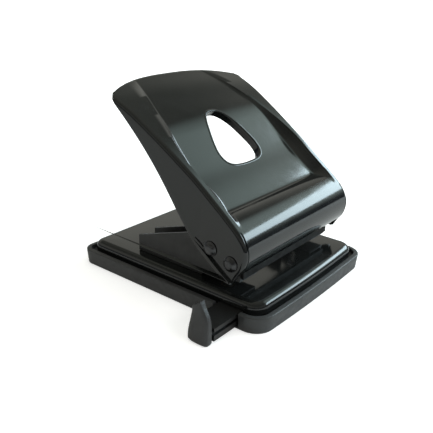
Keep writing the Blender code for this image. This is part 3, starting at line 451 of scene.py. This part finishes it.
def carve(piece, cutters, operation="DIFFERENCE"):
    """Cuts closed cutters out of a piece (or joins them), keeps the result as the piece's own mesh,
    and throws the cutters away."""
    for cutter in cutters:
        if is_inside_out(cutter):
            cutter.data.flip_normals()
        change = piece.modifiers.new("carve", "BOOLEAN")
        change.operation, change.object, change.solver = operation, cutter, "EXACT"
    bpy.context.view_layer.update()
    done = piece.evaluated_get(bpy.context.evaluated_depsgraph_get())
    mesh = bpy.data.meshes.new_from_object(done)
    piece.modifiers.clear()
    piece.data = mesh
    mesh.set_sharp_from_angle(angle=math.radians(SHARP_ANGLE))
    for cutter in cutters:
        bpy.data.objects.remove(cutter, do_unlink=True)


def hand_over(piece, body, finish, slot, *stands_for):
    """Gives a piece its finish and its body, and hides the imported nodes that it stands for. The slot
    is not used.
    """
    piece.data.materials.clear()
    piece.data.materials.append(finish)
    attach(piece, body)
    if stands_for:
        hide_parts(*stands_for)
    if is_inside_out(piece):
        piece.data.flip_normals()
        print(piece.name, "was turned the right way out")
    print(piece.name, len(piece.data.polygons), "faces")


# %% Cutters: a box, a peg and a prism
def box_cutter(low, high):
    """Two rings of four corners, closed at both ends."""
    square = np.array([(0, 0), (1, 0), (1, 1), (0, 1)])
    low, high = np.array(low, float), np.array(high, float)
    flat = low[:2] + square * (high - low)[:2]
    rings = np.stack([np.column_stack([flat, np.full(4, z)]) for z in (low[2], high[2])])
    return mesh_of_grid("box_cutter", rings, True, (True, True))


PEG_POINTS = 40


def peg_cutter(radius, x, y, low, high):
    """An upright round peg: two rings of points at even angles."""
    angle = np.linspace(0, 2 * np.pi, PEG_POINTS, endpoint=False)
    flat = np.column_stack([x + radius * np.cos(angle), y + radius * np.sin(angle)])
    rings = np.stack([np.column_stack([flat, np.full(PEG_POINTS, z)]) for z in (low, high)])
    return mesh_of_grid("peg_cutter", rings, True, (True, True))


# %% [markdown]
# ## The chip tray
# The tray is one moulding: a shallow rounded box, whose walls lean out a little so that it leaves the
# mould, with a step inside for the steel plate. It could be a box with its corners rounded by a
# bevel, but its front also bows out. So its outline is worked out as a line, four quarter circles
# and a bowed front, and that line is carried through the profile of the wall.

# %% The outline seen from above
HOLE_SPACING = 0.080
TRAY_HALF = np.array([0.0625, 0.0732])
TRAY_CORNERS = (0.012, 0.008)           # front and rear corner radius
FRONT_BOW = 0.0015
CORNER_POINTS, SIDE_POINTS = 18, 22
LEAST_CORNER = 0.0008


def outline_above(inset, height, half=TRAY_HALF, corners=TRAY_CORNERS):
    """A rounded rectangle drawn in by inset. Each corner is a quarter circle, each side a row of even
    steps, and a point of the front half moves out by bow times 1 - (x / half width) squared."""
    wide, deep = half - inset
    parts = []
    step = np.linspace(0, 1, SIDE_POINTS, endpoint=False)[1:, None]
    spots = [(-1, -1, 180, 0), (1, -1, 270, 0), (1, 1, 0, 1), (-1, 1, 90, 1)]
    arcs = []
    for sx, sy, start, which in spots:
        radius = max(corners[which] - inset, LEAST_CORNER)
        angle = np.radians(np.linspace(start, start + 90, CORNER_POINTS))
        middle = np.array([sx * (wide - radius), sy * (deep - radius)])
        arcs.append(middle + radius * np.column_stack([np.cos(angle), np.sin(angle)]))
    for arc, after in zip(arcs, arcs[1:] + arcs[:1]):
        parts += [arc, arc[-1] + (after[0] - arc[-1]) * step]
    flat = np.vstack(parts)
    flat[:, 1] -= np.where(flat[:, 1] < 0, FRONT_BOW * (1 - (flat[:, 0] / wide) ** 2), 0)
    return np.column_stack([flat, np.full(len(flat), height)])


def toward_middle(ring, shares):
    """The same ring drawn in towards the middle of the piece by shares, so that a flat face is made
    of even strips."""
    return [np.column_stack([ring[:, :2] * share, ring[:, 2]]) for share in shares]


# %% Carry the outline through the wall
TRAY_TOP, LEDGE, TRAY_FLOOR = 0.0104, 0.0077, 0.0016
TRAY_RIM, TRAY_RING, TRAY_DRAFT, SOFT = 0.0030, 0.0080, 0.0008, 0.0008


def quarter(inset, height, radius, start, end, steps=5):
    """(inset, height) points round a soft edge: centre plus radius times cosine and sine."""
    angle = np.radians(np.linspace(start, end, steps))
    return [(inset + radius * math.cos(a), height + radius * math.sin(a)) for a in angle]


wall = [(TRAY_DRAFT + SOFT, 0.0)] + quarter(TRAY_DRAFT + SOFT, SOFT, SOFT, 250, 180)
wall += [(TRAY_DRAFT * 0.5, TRAY_TOP * 0.5)] + quarter(SOFT, TRAY_TOP - SOFT, SOFT, 180, 90)
wall += [(TRAY_RIM, TRAY_TOP), (TRAY_RIM, LEDGE), (TRAY_RING, LEDGE), (TRAY_RING, TRAY_FLOOR)]
tray_rings = [outline_above(inset, height) for inset, height in wall]
tray_grid = np.stack(
    toward_middle(tray_rings[0], (0.3, 0.7)) + tray_rings + toward_middle(tray_rings[-1], (0.7, 0.3))
)
tray = mesh_of_grid("moulded_tray", tray_grid, True, (True, True), sharp=SHARP_ANGLE)
print("tray rings:", len(tray_grid), "points round:", tray_grid.shape[1])

# %% Cut the slot for the paper guide and the two hinge pockets
BAR_Y, BAR_Z = (-0.0570, -0.0410), (0.0019, 0.0097)
ROOM = 0.0010
SLOT_X, SLOT_TOP = (-0.0665, -0.0505), 0.0144
TONGUE_X, TONGUE_HALF = 0.030, 0.0060
POCKET_Y, POCKET_ROOM = (0.0682, 0.0721), 0.0006
POCKET_BELOW_LEDGE, POCKET_ROOF = 0.0038, 0.0009
slot_low = (SLOT_X[0], BAR_Y[0] - ROOM, TRAY_FLOOR)
slot_high = (SLOT_X[1], BAR_Y[1] + ROOM, SLOT_TOP)
cutters = [box_cutter(slot_low, slot_high)]
for sign in (-1, 1):
    x = sign * TONGUE_X
    low = (x - TONGUE_HALF - POCKET_ROOM, POCKET_Y[0], LEDGE - POCKET_BELOW_LEDGE)
    high = (x + TONGUE_HALF + POCKET_ROOM, POCKET_Y[1], TRAY_TOP - POCKET_ROOF)
    cutters.append(box_cutter(low, high))
carve(tray, cutters)
hand_over(tray, "tray", tray_plastic, "tray_plastic", "chip_tray")

# %% [markdown]
# ## The steel base plate
# The plate is pressed from one sheet: flat on top, its edge rolled over into a low skirt that stands
# on the tray's step. The rolled edge catches the long lamp as one bright thread, so it needs many
# fine steps. The same outline is used, drawn in, and carried up the inside of the sheet and down the
# outside of it, so that the plate has its real thickness.

# %% Roll the plate's edge
PLATE_TOP, PLATE_SHEET, PLATE_ROUND, PLATE_IN = 0.0160, 0.0015, 0.0045, 0.0052
PLATE_FOOT = LEDGE + 0.0003
PLATE_HALF = TRAY_HALF - PLATE_IN
PLATE_CORNERS = (TRAY_CORNERS[0] - PLATE_IN / 2, TRAY_CORNERS[1] - PLATE_IN / 4)


def rolled_edge(radius, first, steps=14):
    """(inset, height) from the top of the bend to its foot, for the sheet's face at that radius."""
    angle = np.linspace(np.pi / 2, 0, steps)
    inset = first + radius * (1 - np.cos(angle))
    return list(zip(inset, PLATE_TOP - PLATE_ROUND + radius * np.sin(angle)))


inside = rolled_edge(PLATE_ROUND - PLATE_SHEET, PLATE_SHEET) + [(PLATE_SHEET, PLATE_FOOT)]
outside = [(0.0, PLATE_FOOT)] + rolled_edge(PLATE_ROUND, 0.0)[::-1]
plate_rings = [outline_above(i, h, PLATE_HALF, PLATE_CORNERS) for i, h in inside + outside]
plate_grid = np.stack(
    toward_middle(plate_rings[0], (0.25, 0.5, 0.75)) + plate_rings
    + toward_middle(plate_rings[-1], (0.75, 0.5, 0.25))
)
plate = mesh_of_grid("pressed_plate", plate_grid, True, (True, True), sharp=SHARP_ANGLE)
print("plate rings:", len(plate_grid))

# %% Tongues for the hinge, holes for dies and rivets, a slot for the guide
PUNCH_Y = -0.033753
RIVETS_Y = (-0.0040, 0.0220)
DIE_HOLE, RIVET_HOLE, PEG_Z = 0.0047, 0.0024, (0.0105, 0.0200)
TONGUE_ROOT, TONGUE_OUT, TONGUE_Z = 0.00075, 0.0034, (0.0001, 0.0012)
NOTCH_X, NOTCH_Z = (-0.0583, -0.0548), (0.0040, 0.0102)
tongues = []
for sign in (-1, 1):
    x = sign * TONGUE_X
    low = (x - TONGUE_HALF, PLATE_HALF[1] - TONGUE_ROOT, PLATE_FOOT + TONGUE_Z[0])
    high = (x + TONGUE_HALF, PLATE_HALF[1] + TONGUE_OUT, PLATE_FOOT + TONGUE_Z[1])
    tongues.append(box_cutter(low, high))
carve(plate, tongues, "UNION")
notch_low = (NOTCH_X[0], BAR_Y[0] - ROOM, NOTCH_Z[0])
notch_high = (NOTCH_X[1], BAR_Y[1] + ROOM, NOTCH_Z[1])
cutters = [box_cutter(notch_low, notch_high)]
for sign in (-1, 1):
    x = sign * HOLE_SPACING / 2
    cutters.append(peg_cutter(DIE_HOLE, x, PUNCH_Y, *PEG_Z))
    cutters += [peg_cutter(RIVET_HOLE, x, y, *PEG_Z) for y in RIVETS_Y]
carve(plate, cutters)
hand_over(plate, "base", enamel, "black_enamel", "base_plate")

# %% [markdown]
# ## The handle
# The handle is one pressed sheet. Its sides are flat flanges, its top carries a wide sunk panel for
# the palm, and its front is rolled round into a tube that hides both shafts. It could be modelled by
# pushing points about, but then its reflections would wobble, and a gloss black piece is nothing but
# reflections. So it is worked out from its side view: three smooth lines, the top of the flange, its
# lower edge and the middle of the panel, and across them the bend, the slope and the floor.

# %% The side view, measured
PIVOT, DRIVE = np.array([-0.0489, 0.0365]), np.array([-0.03451, 0.04140])
ARM, LONG = 0.0152, 0.111
ROLL, ROLL_RADIUS = np.array([-0.0417, 0.0423]), 0.0171
LIP_ANGLE, FRONT_ANGLE, LEAVES_ANGLE = 242.0, 222.0, 130.0
HANDLE_HALF, SHEET, SIDE_BEND, SEAM = 0.0590, 0.0016, 0.0026, 0.0008
ROLL_HALF = HANDLE_HALF - SIDE_BEND - SEAM


def round_roll(angles):
    """Points of the rolled front in the side view: centre plus radius times (cosine, sine)."""
    turn = np.radians(np.atleast_1d(angles))
    return ROLL + ROLL_RADIUS * np.column_stack([np.cos(turn), np.sin(turn)])


leaves = round_roll(LEAVES_ANGLE)
# Each row: top of the flange, its lower edge and the panel's middle, as shares of LONG from there.
SIDE_VIEW = np.array((
    (0.0000, 0.0000, 0.0981, -0.2586, 0.0000, 0.0000),
    (0.0666, 0.0559, 0.1459, -0.2279, 0.0612, 0.0378),
    (0.1405, 0.1135, 0.1954, -0.1910, 0.1380, 0.0495),
    (0.2080, 0.1649, 0.2414, -0.1559, 0.2044, 0.1009),
    (0.2774, 0.2194, 0.2837, -0.1135, 0.2756, 0.1496),
    (0.3468, 0.2676, 0.3224, -0.0559, 0.3468, 0.1991),
    (0.4179, 0.3162, 0.3684, 0.0054, 0.4197, 0.2631),
    (0.4882, 0.3631, 0.4387, 0.1108, 0.4909, 0.3315),
    (0.5603, 0.4099, 0.5152, 0.2126, 0.5621, 0.3964),
    (0.6324, 0.4550, 0.6089, 0.3207, 0.6351, 0.4478),
    (0.7233, 0.5072, 0.7071, 0.4189, 0.7252, 0.5036),
    (0.8324, 0.5541, 0.8233, 0.5216, 0.8324, 0.5541),
)) * LONG
crown_points, edge_points, panel_points = (SIDE_VIEW[:, i:i + 2] + leaves for i in (0, 2, 4))
LOBE = PIVOT + ARM * np.array((
    (-0.013, -0.832), (0.118, -0.829), (0.224, -0.803),
    (0.303, -0.757), (0.368, -0.714), (0.421, -0.678),
))
FRONT = PIVOT + ARM * np.array((
    (-0.079, -0.803), (-0.151, -0.711), (-0.217, -0.592), (-0.289, -0.474),
))
print("the free end is", round(crown_points[-1, 1], 4), "m up")

# %% Three smooth lines up the handle
CREASE, LAST = 2, len(SIDE_VIEW) - 1
SINK, SINK_ROW = 0.0009, 9.4
DIP, DIP_BEFORE, DIP_AFTER = 0.00030, 0.30, 1.6
roll_row = np.linspace(-1, 0, 45)[:-1]
top_row = np.linspace(0, LAST, 124)
row = np.concatenate([roll_row, top_row])
front_points = np.vstack([FRONT, round_roll(np.linspace(FRONT_ANGLE, LEAVES_ANGLE, 9))])
lobe_points = np.vstack([LOBE, edge_points[:1]])
top = np.vstack([
    smooth_through(front_points, (roll_row + 1) * (len(front_points) - 1)),
    smooth_through(crown_points, top_row),
])
lower = np.vstack([
    smooth_through(lobe_points, (roll_row + 1) * (len(lobe_points) - 1)),
    smooth_through(edge_points, top_row),
])
over_roll = np.vstack([round_roll(LEAVES_ANGLE + 11), panel_points[:CREASE + 1]])
panel = np.vstack([
    round_roll(LIP_ANGLE + (LEAVES_ANGLE - LIP_ANGLE) * (roll_row + 1)),
    smooth_through(over_roll, top_row[top_row <= CREASE] + 1),
    smooth_through(panel_points[CREASE:], top_row[top_row > CREASE] - CREASE),
])
rolled = len(roll_row)
top[rolled - 12:] = soften(top[rolled - 12:], 4.0)
lower[rolled:] = soften(lower[rolled:], 5.0)
panel = soften(panel, 1.5)
# Near the top the panel lies a little deeper than the line through the measured points.
sink = SINK * np.exp(-(row - SINK_ROW) ** 2) * (row > 0)
panel += sink[:, None] * (0.55, -0.83)
# Where the panel turns up from the roll, the press leaves a shallow dip, steeper on the roll's side.
dip = DIP * np.exp(-((row - CREASE) / np.where(row < CREASE, DIP_BEFORE, DIP_AFTER)) ** 2)
panel += dip[:, None] * (0.35, -0.94)
print("stations up the handle:", len(row))


# %% Across the handle: flange, bend, rim, slope and floor
def smooth_share(share):
    """3 t squared - 2 t cubed, held between nought and one."""
    t = np.clip(share, 0, 1)
    return t * t * (3 - 2 * t)


TIGHT_BEND = (0.70, 0.74, 0.79, 0.85, 0.91, 0.96, 1.0)     # one every twelfth of a row
BEND_SHARE = 0.58                       # and never more than this share of the flange's depth
FLARE, FLARE_ROW = 0.0030, 3
RISES_FROM = 0.68                       # the free end's bulge starts this far up
CORNER_FROM, CORNER_WIDE, CORNER_DRAWN = 0.93, 0.07, 0.0025
BULGE, BULGE_POWER = 0.0142, 2.7
step = np.gradient(top, axis=0)
tangent = step / np.linalg.norm(step, axis=1)[:, None]
normal = np.column_stack([-tangent[:, 1], tangent[:, 0]])
# The bend is tighter at the front corner and where the flange gets shallow.
bend = SIDE_BEND * np.interp((row + 1) * 12, np.arange(len(TIGHT_BEND)), TIGHT_BEND)
deep = ((top - lower) * normal).sum(axis=1)
bend = np.where(row >= 0, np.minimum(bend, BEND_SHARE * deep), bend)
wide = HANDLE_HALF + FLARE * np.clip((row - FLARE_ROW) / (LAST - FLARE_ROW), 0, 1)
# Where the slope into the panel starts and ends at each row, in shares of the roll's half width.
SLOPE = np.array((
    (0.975, 0.93), (0.975, 0.90), (0.972, 0.845), (0.970, 0.81), (0.968, 0.82), (0.960, 0.835),
    (0.930, 0.820), (0.885, 0.80), (0.825, 0.76), (0.755, 0.71), (0.665, 0.63), (0.560, 0.53),
))
slope_from, slope_to = smooth_through(SLOPE, np.maximum(row, 0)).T
rising = np.clip((row / LAST - RISES_FROM) / (1 - RISES_FROM), 0, 1)
shoulder = top - normal * bend[:, None]


def across_handle(x, side, bulge):
    """One column: x for every station and its place in the side view. Near the free end the column
    moves along the tangent, out by the bulge and back at the corner by a quarter ellipse."""
    corner = np.clip((x / wide - CORNER_FROM) / CORNER_WIDE, 0, 1)
    drawn = CORNER_DRAWN * (1 - np.sqrt(1 - corner ** 2))
    return np.column_stack([x, side + tangent * ((bulge - drawn) * rising)[:, None]])


up_flange = np.linspace(0, 1, 9)[:-1]
columns = [across_handle(wide, lower + (shoulder - lower) * share, 0) for share in up_flange]
for turn in np.linspace(0, np.pi / 2, 9):
    place = shoulder + normal * (bend * math.sin(turn))[:, None]
    columns.append(across_handle(wide - bend * (1 - math.cos(turn)), place, 0))
seam = len(columns) - 1
rim = panel + (top - panel) * smooth_share(row / 0.5)[:, None]
shares = [(1 + (slope_from - 1) * t, 0.0) for t in np.linspace(0, 1, 4)[:-1]]
shares += [(slope_from + (slope_to - slope_from) * t, t) for t in np.linspace(0, 1, 17)]
shares += [(slope_to * (1 - t), 1.0) for t in np.linspace(0, 1, 24)[1:]]
for share, down in shares:
    x = share * ROLL_HALF * wide / HANDLE_HALF
    sunk = 0.2 * smooth_share(down) + 0.8 * (1 - (1 - down) ** 2)
    bulge = BULGE * (1 - (x / wide) ** BULGE_POWER)
    columns.append(across_handle(x, rim + (panel - rim) * sunk, bulge))
half = np.stack(columns, axis=1)
mirrored = half[:, -2::-1] * np.array([-1, 1, 1])
handle_grid = np.concatenate([half, mirrored], axis=1)
print("handle grid:", handle_grid.shape)

# %% Leave the seam open and give the sheet its thickness
EDGE_SOFT, EDGE_ANGLE = 0.00035, 55
opened = np.zeros((len(row) - 1, handle_grid.shape[1] - 1), bool)
opened[:rolled, [seam, handle_grid.shape[1] - 2 - seam]] = True
handle = mesh_of_grid("pressed_handle", handle_grid, left_open=opened)
sheet = handle.modifiers.new("sheet", "SOLIDIFY")
sheet.thickness, sheet.offset, sheet.use_even_offset = SHEET, -1, True
edges = handle.modifiers.new("edges", "BEVEL")
edges.width, edges.segments, edges.limit_method = EDGE_SOFT, 2, "ANGLE"
edges.angle_limit, edges.use_clamp_overlap = math.radians(EDGE_ANGLE), True
print("sheet:", SHEET, "m, seam open at both ends of the roll")

# %% [markdown]
# ## The window in the handle
# The window is a rounded triangle with its edge turned down inside. A cutter through the sheet makes
# the hole, and the turned edge is a strip of its own: its small profile, a bead on the panel, a wall
# down and a rounded foot, is carried round the outline. That is simpler than bending the sheet's own
# grid, and the bead hides the joint.

# %% The window's outline on the panel
WINDOW_LONG, WINDOW_ROW, WINDOW_POINTS = 0.0405, 6.55, 160
WINDOW = np.array((
    (0.00, 0.52), (0.13, 0.49), (0.24, 0.37), (0.34, 0.17), (0.42, -0.05),
    (0.455, -0.22), (0.42, -0.37), (0.30, -0.45), (0.15, -0.475), (0.00, -0.48),
)) * WINDOW_LONG
loop = np.vstack([WINDOW, (WINDOW * (-1, 1))[-2:0:-1]])
around_twice = np.vstack([loop[-3:], loop, loop[:4]])
window = smooth_through(
    around_twice, 3 + np.linspace(0, len(loop), WINDOW_POINTS, endpoint=False)
)
step = np.roll(window, -1, 0) - np.roll(window, 1, 0)
away = np.column_stack([-step[:, 1], step[:, 0]]) / np.linalg.norm(step, axis=1)[:, None]
spine = handle_grid[rolled:, handle_grid.shape[1] // 2, 1:]
centre, ahead, behind = (
    np.array([np.interp(r, top_row, spine[:, k]) for k in (0, 1)])
    for r in (WINDOW_ROW, WINDOW_ROW + 1, WINDOW_ROW - 1)
)
along = (ahead - behind) / np.linalg.norm(ahead - behind)
below = np.array([along[1], -along[0]])
reach = (spine - centre) @ along
sag = (spine - centre) @ below
print("window:", np.ptp(window, axis=0).round(4).tolist(), "m")


def on_panel(grow, depth):
    """The outline grown sideways, laid on the panel, then set below it by a depth. The panel's height
    at each point is read from its middle line."""
    flat = window + away * grow
    lie = np.interp(flat[:, 1], reach, sag) + depth
    return np.column_stack([flat[:, 0], centre + flat[:, 1:] * along + lie[:, None] * below])


# %% Cut the window and carry its rim round it
BORE_GROW, BORE_DEPTHS = 0.0004, (-0.010, 0.012)
WELD_REACH = 0.000001
bore_rings = np.stack([on_panel(BORE_GROW, depth) for depth in BORE_DEPTHS])
bore = mesh_of_grid("bore", bore_rings, True, (True, True))
carve(handle, [bore])
hand_over(handle, "handle", enamel, "black_enamel", "handle")
# Each point: how far out from the window's outline, and how far below the panel.
RIM_PROFILE = (
    (0.0019, 0.0000), (0.0015, -0.00022), (0.0010, -0.00030), (0.0005, -0.00020), (0.00015, 0.00010),
    (0.0000, 0.0006), (0.0000, 0.0030), (0.0000, 0.0047), (0.0003, 0.0051), (0.0009, 0.0052),
    (0.0012, 0.0049), (0.0013, 0.0040), (0.0013, 0.0022), (0.0015, 0.0012), (0.0019, 0.0007),
)
round_profile = np.linspace(0, len(RIM_PROFILE), 61)
profile = smooth_through(np.array(RIM_PROFILE + RIM_PROFILE[:1]), round_profile)[:-1]
rim_grid = np.stack([on_panel(grow, depth) for grow, depth in np.vstack([profile, profile[:1]])])
rim_piece = mesh_of_grid("window_rim", rim_grid, True)
merged = rim_piece.modifiers.new("close", "WELD")
merged.merge_threshold = WELD_REACH
hand_over(rim_piece, "handle", enamel, "black_enamel")

# %% [markdown]
# ## The two shafts
# Both shafts run through the handle from side to side and are riveted over, so that each end shows a
# shallow dome. A cylinder with a bevel would come close, but the dome is what mirrors the light, so
# the whole shaft is one profile turned round its axis.

# %% Turn the shafts
SEAT = HANDLE_HALF + 0.0003


def domed_shaft(name, place, radius=0.0030, head=0.0046, high=0.0020, points=48):
    """Points at even angles round the X axis, along a profile of (radius, x). The head is a bell: a
    thin brim that rises slowly, a steeper shoulder and a round crown, drawn through seven points."""
    bell = np.array((
        (1.0, 0.05), (0.97, 0.16), (0.84, 0.32), (0.70, 0.58), (0.52, 0.86), (0.27, 0.98), (0.04, 1.0),
    ))
    dome = smooth_through(bell, np.linspace(0, 6, 25)) * (head, high) + (0, SEAT)
    end = np.vstack([[(radius, SEAT), (head - 0.0001, SEAT)], dome])
    line = np.vstack([end[::-1] * (1, -1), end])
    angle = np.linspace(0, 2 * np.pi, points, endpoint=False)
    ring = np.column_stack([np.cos(angle), np.sin(angle)])
    grid = np.stack([np.column_stack([np.full(points, x), place + r * ring]) for r, x in line])
    piece = mesh_of_grid(name, grid, True, (True, True), sharp=35)
    hand_over(piece, "handle", black_steel, "blackened_steel", name.replace("turned_", ""))


domed_shaft("turned_pivot_shaft", PIVOT)
domed_shaft("turned_drive_shaft", DRIVE)

# %% [markdown]
# ## The paper guide's end stop
# The stop is a small plastic tab on the end of the sliding bar. It leans back towards its top and its
# edges are softly rounded, as a moulding's are. A box with a bevel can't lean and swell at once, so
# each level of it is a rounded rectangle, and the levels' sizes follow smooth lines up the tab.

# %% Stack the stop's levels
# Each level: its height, its front and rear edge and its thickness, as shares.
STOP = np.array((
    (0.000, 0.06, 0.82, 0.90),
    (0.035, 0.03, 0.88, 0.98),
    (0.08, 0.02, 0.90, 1.00),
    (0.27, 0.03, 0.895, 0.93),
    (0.49, 0.05, 0.84, 0.83),
    (0.65, 0.12, 0.80, 0.77),
    (0.755, 0.21, 0.775, 0.74),
    (0.86, 0.31, 0.75, 0.73),
    (0.925, 0.36, 0.60, 0.72),
    (0.98, 0.405, 0.48, 0.70),
    (1.00, 0.42, 0.45, 0.66),
))
STOP_FOOT, STOP_HIGH, STOP_THICK = 0.0004, 0.0246, 0.0060
BAR_OUT, STOP_GAP = 0.0195, 0.0003
STOP_X = -TRAY_HALF[0] - BAR_OUT - STOP_GAP
BAR_WIDE = BAR_Y[1] - BAR_Y[0]
levels = smooth_through(STOP, np.linspace(0, len(STOP) - 1, 90))
levels = soften(levels, 2.0)


def stop_level(high, front, rear, thick, points=56):
    """A superellipse seen from above: |y| and |x| are powers 2/5 of cosine and sine of an even
    angle, so the sides are nearly straight. Its outer side swells a little in the middle."""
    angle = np.linspace(0, 2 * np.pi, points, endpoint=False)
    c, s = np.cos(angle), np.sin(angle)
    y = np.sign(c) * np.abs(c) ** 0.4
    x = np.sign(s) * np.abs(s) ** 0.4
    half_y, half_x = (rear - front) * BAR_WIDE / 2, STOP_THICK * thick / 2
    middle_y = BAR_Y[0] + BAR_WIDE * (front + rear) / 2
    swell = np.where(x > 0, 0.86 + 0.14 * (1 - y ** 2), 1.0)
    z = STOP_FOOT + STOP_HIGH * high
    places = (STOP_X - half_x - half_x * x * swell, middle_y + half_y * y, np.full(points, z))
    return np.column_stack(places)


stop_grid = np.stack([stop_level(*level) for level in levels])
stop = mesh_of_grid("moulded_stop", stop_grid, True, (True, True), sharp=50)
hand_over(stop, "paper_guide", guide_plastic, "guide_plastic", "guide_stop")

# %% [markdown]
# ## Dress the pieces that stay
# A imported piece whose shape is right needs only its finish. The piece's name says what it is, so a
# short table from words in the names to finishes does it, and the longest word that fits wins.

# %% Give each node its finish
FINISH_OF = {
    "chip_tray": tray_plastic, "base_plate": enamel, "throat_strip": painted_shade_strip, "bracket": satin,
    "guide_rail": zinc, "punch_guide": bronze, "die": ground_steel, "spring": spring_steel,
    "rivet": black_steel, "handle": enamel, "shaft": black_steel, "spacer": guide_plastic,
    "punch_pin": ground_steel, "collar": zinc, "guide_bar": bar_plastic, "guide_stop": guide_plastic,
}
for name, piece in nodes.items():
    word = max((w for w in FINISH_OF if w in name), key=len)
    piece.data.materials.clear()
    piece.data.materials.append(FINISH_OF[word])
print("finished nodes:", len(nodes))
